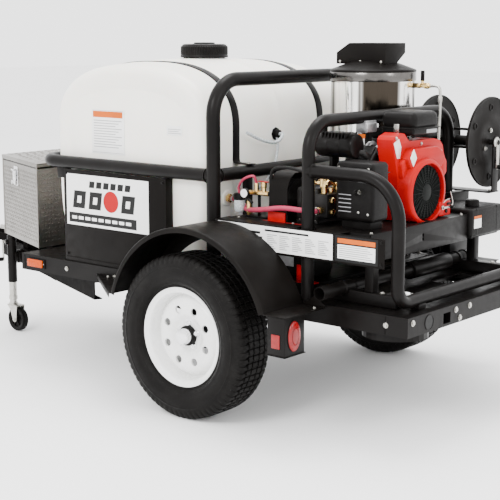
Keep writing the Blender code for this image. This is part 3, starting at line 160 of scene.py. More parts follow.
AMBER_LENS = surface("amber_lens", (0.42, 0.052, 0.0006), 0.26, other=(0.32, 0.036, 0.0005), patch=40,
        spread=0.04, grain=220, bump=0.1, specular=0.15)
BELT = surface("belt_rubber", (0.014, 0.014, 0.014), 0.7, patch=40, grain=1500, bump=0.3)
RED_HOSE = surface("red_hose", (0.34, 0.03, 0.07), 0.42, other=(0.26, 0.02, 0.05), patch=30, grain=900,
        bump=0.12, specular=0.25)
CLEAR_HOSE = surface("clear_hose", (0.62, 0.66, 0.68), 0.25, other=(0.5, 0.54, 0.56), patch=30, grain=400,
        bump=0.1, transmission=0.3)
BLACK_HOSE = surface("black_hose", (0.007, 0.0066, 0.0064), 0.55, patch=30, grain=1100, bump=0.25,
        specular=0.12)
WHITE_VINYL = surface("white_vinyl", (0.8, 0.8, 0.79), 0.38, other=(0.74, 0.74, 0.72), patch=9, grain=700,
        bump=0.04)
BLACK_VINYL = surface("black_vinyl", (0.006, 0.006, 0.006), 0.4, patch=9, grain=700, bump=0.04, specular=0.15)
GREY_VINYL = surface("grey_vinyl", (0.26, 0.26, 0.27), 0.4, patch=9, grain=700, bump=0.04)
RED_VINYL = surface("red_vinyl", (0.34, 0.003, 0.006), 0.4, patch=9, grain=700, bump=0.04, specular=0.12)
ORANGE_VINYL = surface("orange_vinyl", (0.52, 0.095, 0.002), 0.4, patch=9, grain=700, bump=0.04,
        specular=0.15)
YELLOW_VINYL = surface("yellow_vinyl", (0.72, 0.47, 0.012), 0.38, patch=9, grain=700, bump=0.04)
BLUE = surface("blue_plastic", (0.03, 0.1, 0.45), 0.35, patch=30, grain=900, bump=0.06)

ALUMINIUM_SEAL = surface("pale_seal", (0.74, 0.73, 0.7), 0.35, metal=0.4, other=(0.6, 0.58, 0.54), patch=30,
        grain=900, bump=0.1)
PALE_GREEN = surface("pale_green", (0.62, 0.72, 0.66), 0.4, patch=30, grain=700, bump=0.04)
SCREEN = surface("fan_screen", (0.003, 0.0036, 0.0033), 0.45, other=(0.006, 0.0075, 0.0066), patch=20,
        grain=900, bump=0.15, specular=0.06)
DARK_BAND = surface("dark_band", (0.1, 0.095, 0.09), 0.22, metal=1.0, other=(0.06, 0.055, 0.05), patch=12,
        grain=700, bump=0.05)

# the CAD nodes that stay visible; the tongue takes a darker, less reflective copy of the black coat as painted
# shade
for word, finish in (("main_frame", COAT), ("tongue", COAT_PAINTED_SHADE), ("heater_coil", ZINC),
        ("drive_belt", BELT)):
    NODES[word].data.materials.clear()
    NODES[word].data.materials.append(finish)

# ---------------------------------------------------------------- shapes


def mm(*points):
    """Points given in millimetres."""
    return [(a / 1000, b / 1000) for a, b in points]


def finished(shape, bevel=0.0, segments=2, angle=SHARP):
    """A mesh from a bmesh, with its sharp edges rounded."""
    bmesh.ops.recalc_face_normals(shape, faces=shape.faces)
    if bevel:
        edges = [e for e in shape.edges if len(e.link_faces) == 2 and e.calc_face_angle(0.0) > radians(30)]
        bmesh.ops.bevel(shape, geom=edges, offset=bevel, segments=segments, affect="EDGES", profile=0.5,
                clamp_overlap=True)
    mesh = bpy.data.meshes.new("shape")
    shape.to_mesh(mesh)
    shape.free()
    mesh.shade_smooth()
    mesh.set_sharp_from_angle(angle=radians(angle))
    return mesh


def box(low, high, bevel=0.0015, segments=2):
    low, high = Vector(low), Vector(high)
    shape = bmesh.new()
    place = Matrix.Translation((low + high) / 2) @ Matrix.Diagonal((*(high - low), 1.0))
    bmesh.ops.create_cube(shape, size=1.0, matrix=place)
    return finished(shape, bevel, segments)


def rod(start, end, radius, sides=32, bevel=0.0):
    start, end = Vector(start), Vector(end)
    along = end - start
    shape = bmesh.new()
    place = Matrix.Translation((start + end) / 2) @ along.to_track_quat("Z", "Y").to_matrix().to_4x4()
    bmesh.ops.create_cone(shape, cap_ends=True, segments=sides, radius1=radius, radius2=radius,
            depth=along.length, matrix=place)
    return finished(shape, bevel)


def rods(*rows):
    return [rod(*row) for row in rows]


def ball(centre, radius, scale=(1, 1, 1), detail=24):
    shape = bmesh.new()
    place = Matrix.Translation(centre) @ Matrix.Diagonal((*scale, 1.0))
    bmesh.ops.create_uvsphere(shape, u_segments=detail, v_segments=detail // 2, radius=radius, matrix=place)
    return finished(shape)


def skin(rows, close_rows=True, close_ends=True, loop=False, angle=SHARP, bevel=0.0):
    """A skin over rows of points with equal counts: rows are closed rings, and the row of rows may be one too."""
    shape = bmesh.new()
    grid = [[shape.verts.new(p) for p in row] for row in rows]
    count = len(grid[0])
    pairs = list(zip(grid, grid[1:])) + ([(grid[-1], grid[0])] if loop else [])
    for first, second in pairs:
        for k in range(count if close_rows else count - 1):
            n = (k + 1) % count
            shape.faces.new((first[k], first[n], second[n], second[k]))
    if close_ends and not loop:
        shape.faces.new(grid[0])
        shape.faces.new(grid[-1][::-1])
    bmesh.ops.remove_doubles(shape, verts=shape.verts, dist=1e-6)
    return finished(shape, bevel, angle=angle)


def turned(profile, centre, direction, steps=64, ring=False, angle=SHARP):
    """A profile of (radius, height) turned about the line through centre."""
    turn = Matrix.Translation(centre) @ Vector(direction).to_track_quat("Z", "Y").to_matrix().to_4x4()
    line = list(profile) + ([profile[0]] if ring else [])
    rows = []
    for k in range(steps):
        a = 2 * pi * k / steps
        rows.append([turn @ Vector((max(r, 1e-7) * cos(a), max(r, 1e-7) * sin(a), z)) for r, z in line])
    return skin(rows, close_rows=False, close_ends=False, loop=True, angle=angle)


def knurled(line, ribs, steps, centre, close_rows=True):
    """An upright turned shape with a ribbed grip.

    line(lift) gives its profile, and steps holds the (share, lift) pairs of one rib.
    """
    x, y, z = centre
    rows = []
    for k in range(ribs):
        for share, lift in steps:
            a = 2 * pi * (k + share) / ribs
            rows.append([(x + max(r, 1e-7) * cos(a), y + max(r, 1e-7) * sin(a), z + h)
                    for r, h in line(lift)])
    return skin(rows, close_rows=close_rows, close_ends=False, loop=True, angle=30)


def sweep(path, radius, sides=16, closed=False):
    """A round tube along a path. The radius may be one number or one for each point."""
    path = [Vector(p) for p in path]
    count = len(path)
    radii = radius if isinstance(radius, (list, tuple)) else [radius] * count
    rows = []
    side = None
    for i, point in enumerate(path):
        before = path[i - 1] if i or closed else point
        after = path[(i + 1) % count] if i < count - 1 or closed else point
        along = (after - before).normalized()
        if side is None:
            side = along.orthogonal().normalized()
        side = (side - along * side.dot(along)).normalized()
        up = along.cross(side)
        rows.append([point + (side * cos(2 * pi * k / sides) + up * sin(2 * pi * k / sides)) * radii[i]
                for k in range(sides)])
    return skin(rows, loop=closed, angle=50.0)


PLANES = {"X": Matrix(((0, 0, 1, 0), (1, 0, 0, 0), (0, 1, 0, 0), (0, 0, 0, 1))),
        "Y": Matrix(((1, 0, 0, 0), (0, 0, -1, 0), (0, 1, 0, 0), (0, 0, 0, 1))), "Z": Matrix.Identity(4),}


def evaluated(obj):
    """The object's mesh with its modifiers, in world space; the object is removed."""
    bpy.context.view_layer.update()
    mesh = bpy.data.meshes.new_from_object(obj.evaluated_get(bpy.context.evaluated_depsgraph_get()))
    mesh.transform(obj.matrix_world)
    bpy.data.objects.remove(obj, do_unlink=True)
    return mesh


def linked(name, data):
    obj = bpy.data.objects.new(name, data)
    bpy.context.scene.collection.objects.link(obj)
    return obj


def plate(outline, low, high, axis, holes=(), bevel=0.0, segments=2):
    """A flat outline in the other two axes, with holes, carried from low to high along the axis."""
    curve = bpy.data.curves.new("plate", "CURVE")
    curve.dimensions = "2D"
    curve.fill_mode = "BOTH"
    curve.extrude = (high - low) / 2
    for loop in (outline, *holes):
        spline = curve.splines.new("POLY")
        spline.points.add(len(loop) - 1)
        for point, (u, v) in zip(spline.points, loop):
            point.co = (u, v, 0.0, 1.0)
        spline.use_cyclic_u = True
    obj = linked("plate", curve)
    middle = Vector([(low + high) / 2 if letter == axis else 0.0 for letter in "XYZ"])
    obj.matrix_world = Matrix.Translation(middle) @ PLANES[axis]
    shape = bmesh.new()
    shape.from_mesh(evaluated(obj))
    bmesh.ops.remove_doubles(shape, verts=shape.verts, dist=1e-6)
    return finished(shape, bevel, segments)


def carved(mesh, *cutters):
    """The mesh with the cutters taken out of it."""
    obj = linked("carved", mesh)
    tools = [linked("cutter", cutter) for cutter in cutters]
    for tool in tools:
        modifier = obj.modifiers.new("Boolean", "BOOLEAN")
        modifier.object = tool
        modifier.operation = "DIFFERENCE"
        modifier.solver = "EXACT"
    made = evaluated(obj)
    for tool in tools:
        bpy.data.objects.remove(tool, do_unlink=True)
    made.shade_smooth()
    made.set_sharp_from_angle(angle=radians(SHARP))
    return made


def placed(mesh, matrix):
    mesh.transform(matrix)
    if matrix.determinant() < 0:
        mesh.flip_normals()
    return mesh


def moved(meshes, matrix):
    return [placed(mesh, matrix) for mesh in meshes]


def piece(name, body, parts, stands_for=()):
    """One object from (material, mesh, mesh, ...) groups, riding on a body."""
    shape = bmesh.new()
    materials = []
    for material, *meshes in parts:
        if material not in materials:
            materials.append(material)
        for mesh in meshes:
            start = len(shape.faces)
            shape.from_mesh(mesh)
            shape.faces.ensure_lookup_table()
            for face in shape.faces[start:]:
                face.material_index = materials.index(material)
            bpy.data.meshes.remove(mesh)
    mesh = bpy.data.meshes.new(name)
    shape.to_mesh(mesh)
    shape.free()
    for material in materials:
        mesh.materials.append(material)
    obj = linked(name, mesh)
    if stands_for:
        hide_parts(*stands_for)
    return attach(obj, body)


def arc(centre, radius, start, end, steps):
    """Points on a circle, angles in degrees."""
    angles = [radians(start + (end - start) * i / steps) for i in range(steps + 1)]
    return [(centre[0] + radius * cos(a), centre[1] + radius * sin(a)) for a in angles]


def circle(centre, radius, steps=40):
    return arc(centre, radius, 0.0, 360.0 * (steps - 1) / steps, steps - 1)


def rounded(corners, radius, steps=12, closed=True):
    """A path through the corners with each corner rounded."""
    corners = [Vector(c) for c in corners]
    count = len(corners)
    path = []
    for i, corner in enumerate(corners):
        if not closed and i in (0, count - 1):
            path.append(corner)
            continue
        before = (corners[i - 1] - corner).normalized()
        after = (corners[(i + 1) % count] - corner).normalized()
        half = before.angle(after) / 2
        bend = radius[i] if isinstance(radius, (list, tuple)) else radius
        centre = corner + (before + after).normalized() * bend / sin(half)
        first = corner + before * bend / tan(half) - centre
        last = corner + after * bend / tan(half) - centre
        swing = first.angle(last)
        for k in range(steps + 1):
            t = k / steps
            path.append(centre + (first * sin((1 - t) * swing) + last * sin(t * swing)) / sin(swing))
    return path


def smooth_path(points, steps=8):
    """A smooth curve through the points."""
    points = [Vector(p) for p in points]
    ends = [points[0] * 2 - points[1]] + points + [points[-1] * 2 - points[-2]]
    path = []
    for a, b, c, d in zip(ends, ends[1:], ends[2:], ends[3:]):
        for k in range(steps):
            t = k / steps
            path.append(b + (c - a) * t / 2 + (a - b * 2.5 + c * 2 - d / 2) * t * t
                    + (b * 3 - a - c * 3 + d) * t * t * t / 2)
    path.append(points[-1])
    return path


def hose(points, radius, steps=8, sides=12):
    return sweep(smooth_path(points, steps), radius, sides)


def bolt(place, direction, radius=0.007, height=0.005):
    """A hexagon head on a washer."""
    place, direction = Vector(place), Vector(direction).normalized()
    washer = rod(place, place + direction * 0.0015, radius * 1.45, 24)
    head = rod(place + direction * 0.0012, place + direction * (0.0012 + height), radius, 6,
            bevel=radius * 0.1)
    return washer, head


def bolts(places, direction, radius=0.007, height=0.005):
    return [mesh for place in places for mesh in bolt(place, direction, radius, height)]


def mirrored(half):
    """A profile and its mirror image across its middle plane."""
    return half + [(r, -z) for r, z in reversed(half)]


def frame_at(origin, along, normal):
    """A frame with X along, Y out of the face and Z completing it upwards."""
    along, normal = Vector(along).normalized(), Vector(normal).normalized()
    up = along.cross(normal)
    if up.z < 0:
        up = -up
    matrix = Matrix((along, normal, up)).transposed().to_4x4()
    matrix.translation = origin
    return matrix

# ---------------------------------------------------------------- wheels

AXLE_X = 0.664
WHEEL_X, TRACK, AXLE_Z = ((low + high) / 2 for low, high in zip(*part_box("tyre_right")))
TYRE = AXLE_Z + 0.0008
PITCHES = 72
SLOT_DEEP, GROOVE_DEEP, NICK_DEEP, RIB_SWAY = 0.0036, 0.0075, 0.0045, 0.0022
VENTS, VENT_RING, VENT_R, NUT_RING = 8, 0.113, 0.016, 0.0505


def tyre_mesh(side):
    """A radial tyre: rounded sidewalls with raised rings, and a ribbed tread with cut shoulders."""
    half = mm((190, 66), (196, 71), (206, 72.5), (210, 76.5), (214, 78), (217, 77.5), (221, 84), (232, 92.5),
            (236, 94.5), (239, 94.3), (250, 99), (262, 101.2), (276, 101), (288, 99.2), (289.5, 100),
            (293, 99.6), (295, 97.8), (304, 95))
    shoulder = [(0.308, 0.0945, 0.4), (0.318, 0.0915, 0.8), (0.3195, 0.0912, 0.9), (0.329, 0.0868, 1.0),
            (0.336, 0.0805, 1.0), (0.3392, 0.0745, 1.0), (0.3402, 0.069, 1.0), (0.3406, 0.06, 1.0),
            (0.3409, 0.053, 1.0)]
    ribs = [(0.0525, "wall"), (0.0505, "floor"), (0.045, "floor"), (0.043, "wall"), (0.03, "rib"),
            (0.0215, "wall"), (0.02, "floor"), (0.015, "floor"), (0.0135, "wall"), (0.006, "rib")]
    scale = TYRE / 0.344
    edges = [0.0, 0.3, 0.6, 0.66, 0.94]
    rows = []
    for p in range(PITCHES):
        for e, share in enumerate(edges):
            turn = 2 * pi * (p + share) / PITCHES
            cut = e >= 3

            def place(r, z, drop=0.0, lag=0.0):
                a = turn + lag * 2 * pi / PITCHES
                r = (r * 1.0085 - drop) * scale
                return (r * cos(a), r * sin(a), z)

            sway = RIB_SWAY if e in (1, 2) else -RIB_SWAY

            def rib(z, kind):
                drop = GROOVE_DEEP if kind == "floor" else NICK_DEEP * cut
                return place(0.3411, z + sway, drop, 0.25)

            ring = [place(r, z) for r, z in half]
            ring += [place(r, z, SLOT_DEEP * deep * cut, 0.0) for r, z, deep in shoulder]
            ring += [rib(z, kind) for z, kind in ribs]
            mirror = [rib(-z, kind) for z, kind in reversed(ribs)]
            mirror += [place(r, -z, SLOT_DEEP * deep * cut, 0.5) for r, z, deep in reversed(shoulder)]
            mirror += [place(r, -z) for r, z in reversed(half)]
            rows.append(ring + mirror)
    made = skin(rows, close_rows=True, close_ends=False, loop=True, angle=32)
    turn = Matrix.Translation((WHEEL_X, side * TRACK, AXLE_Z)) @ Vector((0, side, 0)).to_track_quat("Z",
            "Y").to_matrix().to_4x4()
    return placed(made, turn)


def wheel(side, word):
    """Tyre, steel rim with eight round vents, wheel nuts and bearing cap. Local height points outboard."""
    body = "wheel_" + word
    centre = Vector((WHEEL_X, side * TRACK, AXLE_Z))
    out = Vector((0, side, 0))
    piece("tyre_tread_" + word, body, [(RUBBER, tyre_mesh(side))], ["tyre_" + word])

    front = mm((36, 24.5), (65.5, 25), (69, 26.2), (80, 35), (90, 40.5), (100, 42.8), (130, 42.8),
            (145, 40.5), (156, 33), (165, 21.5), (172, 13), (175.5, 13.5), (178, 20), (180, 56), (181.5, 64),
            (186, 69), (198.5, 71.5), (203, 76), (206.2, 77.2), (207, 75.5), (205.5, 72), (190, 66),
            (187, 56), (185, 20))
    back = mm((185, -56), (188, -66), (205.5, -72), (207, -75), (206, -77.2), (202, -76), (198, -70),
            (184, -66), (180, -56), (178, -2), (170, 7), (160, 18), (150, 29), (140, 35), (95, 36), (80, 29),
            (70, 20.5), (36, 20))
    disc = turned(front + back, centre, out, 96, ring=True, angle=40)
    vents = []
    for k in range(VENTS):
        a = 2 * pi * (k + 0.5) / VENTS
        spot = centre + Vector((VENT_RING * cos(a), 0, VENT_RING * sin(a)))
        vents.append(rod(spot - out * 0.02, spot + out * 0.08, VENT_R, 40))
    rims = [carved(disc, *vents)]
    for k in range(VENTS):
        a = 2 * pi * (k + 0.5) / VENTS
        spot = centre + Vector((VENT_RING * cos(a), 0, VENT_RING * sin(a))) + out * 0.0425
        lip = mm((16, -2), (16.4, 1), (17.6, 1.8), (19.2, 1), (19.8, -2))
        rims.append(turned(lip, spot, out, 40, ring=True))
    drum = turned(mm((30, -58), (66, -58), (69, -54), (69, 12), (52, 19.5), (30, 19.5)), centre, out, 48,
            ring=True)
    nuts = []
    for k in range(5):
        a = 2 * pi * k / 5 + pi / 2
        spot = centre + Vector((NUT_RING * cos(a), 0, NUT_RING * sin(a)))
        nuts.append(turned(mm((0, 0), (13.5, 0), (11.8, 6), (0, 6)), spot + out * 0.0245, out, 24))
        nuts.append(rod(spot + out * 0.028, spot + out * 0.0395, 0.0106, 6, bevel=0.001))
        nuts.append(rod(spot + out * 0.039, spot + out * 0.044, 0.0052, 16, bevel=0.0008))
    cap = turned(mm((0, 77), (20, 76.5), (29, 74.5), (32.5, 70.5), (33.2, 60), (33.2, 44), (0, 44)), centre,
            out, 56)
    plug = turned(mm((0, 44), (36, 44.5), (40.5, 43), (42, 39.5), (42, 24.5), (0, 24.5)), centre, out, 56)
    piece("rim_disc_" + word, body, [(WHITE, *rims), (CASTING, drum)], ["rim_" + word])
    piece("wheel_nuts_" + word, body, [(CHROME, *nuts, cap), (PLASTIC, plug)])
    a = radians(-90 - side * 72)
    foot = centre + Vector((0.17 * cos(a), 0, 0.17 * sin(a)))
    stem = sweep(smooth_path([foot + out * 0.012, foot + out * 0.026, foot + out * 0.04], 4), 0.0045, 12)
    piece("valve_stem_" + word, body, [(BELT, stem), (BRASS,
            rod(foot + out * 0.04, foot + out * 0.047, 0.0035, 12))])


for side, word in SIDES:
    wheel(side, word)

# ---------------------------------------------------------------- tank

TANK_X = 0.059
TANK_LENGTH = 0.47
TANK_WIDTH = 0.497
TANK_WAIST = 1.15
ON_FRAME = 0.5153
STRAP_Y = 0.3
GROOVE = 0.006
CROWN_TOP = TANK_WAIST + 0.268 + 0.026
MOUTH_X = TANK_X + 0.017
OUTLET = (-0.36, 0.86)


def tank_ring(y, inset, steps=120):
    """The tank's outline at a station across its width; its rear face has a shallow upright channel."""
    crown = 0.268 + 0.026 * (1 - (y / TANK_WIDTH) ** 2)
    half = TANK_LENGTH - inset
    points = []
    for k in range(steps):
        a = 2 * pi * (k + 0.5) / steps
        c, s = cos(a), sin(a)
        power = 2.5 if s > 0 else 5.0
        height = crown - inset if s > 0 else TANK_WAIST - ON_FRAME - inset
        reach = (abs(c) ** power + abs(s) ** power) ** (-1 / power)
        x, z = half * c * reach, TANK_WAIST + height * s * reach
        points.append((TANK_X + x, y, z))
    return points


def tank_shell():
    """The tank lofted through its stations, with strap grooves."""
    stations = [(TANK_WIDTH - 0.001, 0.115), (TANK_WIDTH - 0.0045, 0.108), (TANK_WIDTH - 0.0045, 0.1),
            (TANK_WIDTH - 0.001, 0.092), (TANK_WIDTH, 0.06)]
    for k in range(0, 11):
        a = pi / 2 * k / 10
        stations.append((TANK_WIDTH - 0.052 * (1 - cos(a)), 0.042 * (1 - sin(a))))
    stations += [(0.42, 0.0), (0.385, 0.0)]
    for k in range(9):
        t = k / 8
        stations.append((STRAP_Y + 0.036 - 0.072 * t, GROOVE * sin(pi * min(1,
                max(0, t * 1.6 - 0.3))) ** 0.5))
    stations += mm((240, 0), (180, 0), (120, 0), (60, 0), (8.5, 0), (5.5, -1.2), (2, -1.4))
    rows = [tank_ring(-y, inset) for y, inset in stations] + [tank_ring(y, inset)
            for y, inset in reversed(stations)]
    return skin(rows, angle=40)


def tank_pieces():
    """The tank with its neck, fittings, sight hose and outlet."""
    shell = tank_shell()
    neck = turned(mm((83, -30), (83, 16), (89, 16), (89.5, 4), (98, 0), (112, -4), (120, -10), (120, -30)),
            (MOUTH_X, 0, CROWN_TOP), UP, 72, ring=True)
    rear = TANK_X + TANK_LENGTH
    boss = turned(mm((0, 6), (30, 6), (34, 2), (34, -20), (0, -20)), (rear, *OUTLET), REARWARD, 40)
    piece("tank_shell", "chassis", [(POLY, shell, neck, boss)], ["tank"])
    # fittings on the rear face
    fit_z = 1.116
    face = rear - 0.012
    fitting = [rod((face, -0.03, fit_z), (face + 0.016, -0.03, fit_z), 0.03, 8, bevel=0.002),
            rod((face + 0.015, -0.03, fit_z), (face + 0.036, -0.03, fit_z), 0.019, 32, bevel=0.002)]
    elbow = hose([(face + 0.035, -0.03, fit_z), (face + 0.05, -0.03, fit_z + 0.002),
            (face + 0.06, -0.045, fit_z - 0.01), (face + 0.062, -0.075, fit_z - 0.028),
            (face + 0.06, -0.12, fit_z - 0.03), (face + 0.052, -0.19, fit_z - 0.012),
            (face + 0.047, -0.27, fit_z + 0.02)], 0.0075)
    drop = hose([(face + 0.026, -0.035, fit_z - 0.012), (face + 0.034, -0.045, fit_z - 0.08),
            (face + 0.044, -0.1, fit_z - 0.17), (face + 0.04, -0.2, fit_z - 0.235),
            (face + 0.03, -0.3, fit_z - 0.25), (face + 0.026, -0.352, fit_z - 0.253)], 0.006)
    piece("tank_fittings", "chassis", [(PLASTIC, *fitting), (CLEAR_HOSE, elbow, drop)])
    nipple = [rod((rear + 0.004, *OUTLET), (rear + 0.02, *OUTLET), 0.02, 6, bevel=0.0015),
            rod((rear + 0.004, *OUTLET), (rear + 0.024, *OUTLET), 0.0145, 24)]
    piece("tank_outlet", "chassis", [(BRASS, *nipple)])


def tank_cap():
    """Screw cap with a ribbed grip and a vent."""
    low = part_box("tank_lid")[0].z
    profile = mm((0, 70.5), (30, 70.5), (46, 70), (49, 68), (50, 64), (70, 63.2), (93, 63), (101, 60),
            (105, 55))
    grip = [(0.1075, 0.05), (0.108, 0.018)]
    foot = mm((109.5, 13), (111.5, 9), (111.5, 2), (108, 0.2), (93.5, 0.2), (93.5, 18), (0, 18))
    cap = knurled(lambda lift: profile + [(r + lift, z) for r, z in grip] + foot, 60,
            ((0.0, 0.0), (0.18, 0.0028), (0.55, 0.0028), (0.73, 0.0)), (MOUTH_X, 0, low), close_rows=False)
    vent = turned(mm((0, 9), (10, 8.6), (13, 6), (13, -2), (0, -2)), (MOUTH_X, 0, low + 0.062), UP, 32)
    piece("tank_cap", "tank_cap", [(PLASTIC, cap, vent)], ["tank_lid"])


def strap(side, word):
    """A flat bar over the tank, bent outwards into a bolted foot on each rail."""
    rail_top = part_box("tank_strap_" + word)[0].z
    y = side * STRAP_Y
    line = [(x, z) for x, _, z in tank_ring(y, GROOVE - 0.0035, 240) if z > rail_top + 0.02]
    line.sort(key=lambda p: atan2(p[1] - TANK_WAIST + 0.3, p[0] - TANK_X))
    rear, front = GUARD_REAR + 0.02, GUARD_FRONT - 0.02
    path = [Vector((rear, 0, rail_top + 0.0026)), Vector((line[0][0] + 0.016, 0, rail_top + 0.0026))]
    path += [Vector((line[0][0] + 0.005, 0, rail_top + 0.006)),
            Vector((line[0][0] + 0.0026, 0, rail_top + 0.016))]
    for x, z in line:
        away = Vector((x - TANK_X, 0, (z - TANK_WAIST) * 1.4 if z > TANK_WAIST else 0.0)).normalized()
        path.append(Vector((x, 0, z)) + away * 0.0018)
    path += [Vector((line[-1][0] - 0.0026, 0, rail_top + 0.016)),
            Vector((line[-1][0] - 0.005, 0, rail_top + 0.006))]
    path += [Vector((line[-1][0] - 0.016, 0, rail_top + 0.0026)), Vector((front, 0, rail_top + 0.0026))]
    rows = []
    for i, point in enumerate(path):
        along = (path[min(i + 1, len(path) - 1)] - path[max(i - 1, 0)]).normalized()
        up = Vector((0, 1, 0)).cross(along).normalized() * 0.0023
        half = Vector((0, 0.0215, 0))
        centre = point + Vector((0, y, 0))
        rows.append([centre + up + half, centre - up + half, centre - up - half, centre + up - half])
    bar = skin(rows, angle=50, bevel=0.0008)
    heads = bolts([(x, y, rail_top + 0.0049) for x in (rear - 0.022, front + 0.022)], UP, 0.0075)
    piece("tank_band_" + word, "chassis", [(COAT, bar), (ZINC, *heads)], ["tank_strap_" + word])


# ---------------------------------------------------------------- guard and cage tubes

GUARD_FRONT = -0.476
GUARD_REAR = 0.601
GUARD_Y = 0.53
GUARD_Z = 0.975
CAGE_X = 1.089
CAGE_REAR = 1.514
CAGE_Y = 0.52
RAIL_Y, RAIL_Z, RAIL_R, HOOP_Z = -CAGE_Y - 0.001, 1.03, 0.0257, 1.22
GUARD_TOP, GUARD_R = 1.37, 0.0285


def weld(path_point, axis, radius):
    """A fillet of weld where one tube meets another."""
    rough = [(radius - 0.001, 0.0), (radius + 0.0045, 0.0), (radius + 0.003, 0.003), (radius - 0.001, 0.0065)]
    return turned(rough, path_point, axis, 40, ring=True)


def guard():
    """The rail round the tank and the hoop behind it."""
    ring = [(GUARD_REAR, -GUARD_Y, GUARD_Z), (GUARD_FRONT, -GUARD_Y, GUARD_Z),
            (GUARD_FRONT, GUARD_Y, GUARD_Z), (GUARD_REAR, GUARD_Y, GUARD_Z)]
    hoop = [(GUARD_REAR, -GUARD_Y, ON_FRAME), (GUARD_REAR, -GUARD_Y, GUARD_TOP),
            (GUARD_REAR, GUARD_Y, GUARD_TOP), (GUARD_REAR, GUARD_Y, ON_FRAME)]
    tubes = [sweep(rounded(ring, 0.1, 14, closed=False), GUARD_R, 28),
            sweep(rounded(hoop, 0.15, 16, closed=False), 0.03, 28)]
    tubes.append(rod((GUARD_REAR, -GUARD_Y, GUARD_Z), (GUARD_REAR, GUARD_Y, GUARD_Z), 0.0279, 28))
    heads = []
    for side in (-1, 1):
        tubes.append(weld((GUARD_REAR - 0.03, side * GUARD_Y, GUARD_Z), FORWARD, GUARD_R))
        tubes.append(weld((GUARD_REAR, side * (GUARD_Y - 0.03), GUARD_Z), (0, -side, 0), 0.028))
        tubes.append(box((GUARD_REAR - 0.012, side * 0.31 - 0.022, ON_FRAME),
                (GUARD_REAR + 0.012, side * 0.31 + 0.022, GUARD_Z), 0.004))
        low, high = sorted((side * 0.487, side * 0.546))
        tubes.append(box((GUARD_REAR - 0.036, low, ON_FRAME), (GUARD_REAR + 0.036, high, ON_FRAME + 0.007),
                0.0025))
        for x in (-0.025, 0.025):
            heads += bolt((GUARD_REAR + x, side * 0.494, ON_FRAME + 0.007), UP, 0.0045, 0.004)
        # lug that ties the front corner down to the side panel
        y = side * (GUARD_Y - 0.002)
        low, high = sorted((y - 0.006, y + 0.006))
        tubes.append(plate([(GUARD_FRONT + 0.115, 0.9), (GUARD_FRONT + 0.175, 0.9),
                (GUARD_FRONT + 0.175, 0.955), (GUARD_FRONT + 0.105, 0.955)], low, high, "Y", bevel=0.001))
    piece("guard_tubes", "chassis", [(COAT, *tubes), (ZINC, *heads)], ["tank_guard"])


def cage():
    """Roll cage posts and the rail that drops to the rear beam."""
    posts = [(CAGE_X, -CAGE_Y, ON_FRAME), (CAGE_X, -CAGE_Y, HOOP_Z), (CAGE_X, CAGE_Y, HOOP_Z),
            (CAGE_X, CAGE_Y, ON_FRAME)]
    rail = [(CAGE_X, RAIL_Y, RAIL_Z), (CAGE_REAR, RAIL_Y, RAIL_Z), (CAGE_REAR, RAIL_Y, 0.553),
            (CAGE_REAR, 0.545, 0.553)]
    tubes = [sweep(rounded(posts, 0.12, 14, closed=False), 0.026, 28),
            sweep(rounded(rail, [0, 0.17, 0.07, 0], 16, closed=False), RAIL_R, 28)]
    tubes.append(weld((CAGE_X + 0.025, RAIL_Y, RAIL_Z), REARWARD, RAIL_R))
    heads = []
    for y in (-0.4, 0.36):
        tubes.append(box((CAGE_REAR - 0.02, y, ON_FRAME), (CAGE_REAR + 0.02, y + 0.05, 0.541), 0.002))
    for side in (-1, 1):
        low, high = sorted((side * 0.479, side * 0.546))
        tubes.append(box((CAGE_X - 0.034, low, ON_FRAME), (CAGE_X + 0.034, high, ON_FRAME + 0.006), 0.002))
        heads += bolt((CAGE_X + 0.026, side * 0.489, ON_FRAME + 0.006), UP, 0.005, 0.004)
    piece("cage_tubes", "chassis", [(COAT, *tubes), (ZINC, *heads)], ["roll_cage"])


tank_pieces()
tank_cap()
for side, word in SIDES:
    strap(side, word)
guard()
cage()

# ---------------------------------------------------------------- fenders and lamps

FENDER_X = 0.684
FENDER_Z = 0.36
FENDER_R = 0.4375
FENDER_IN = 0.5603
FENDER_OUT = 0.81
FENDER_FRONT = 15.5
FENDER_REAR = 19.5
FRAME_SIDE = 0.5503
STEP_Z = FENDER_Z + FENDER_R * sin(radians(FENDER_FRONT))
SHELF_Z = FENDER_Z + FENDER_R * sin(radians(FENDER_REAR))
TIP_X = FENDER_X - FENDER_R * cos(radians(FENDER_FRONT))
TAIL_X = FENDER_X + FENDER_R * cos(radians(FENDER_REAR))
FLIP = Matrix.Diagonal((1, -1, 1, 1))


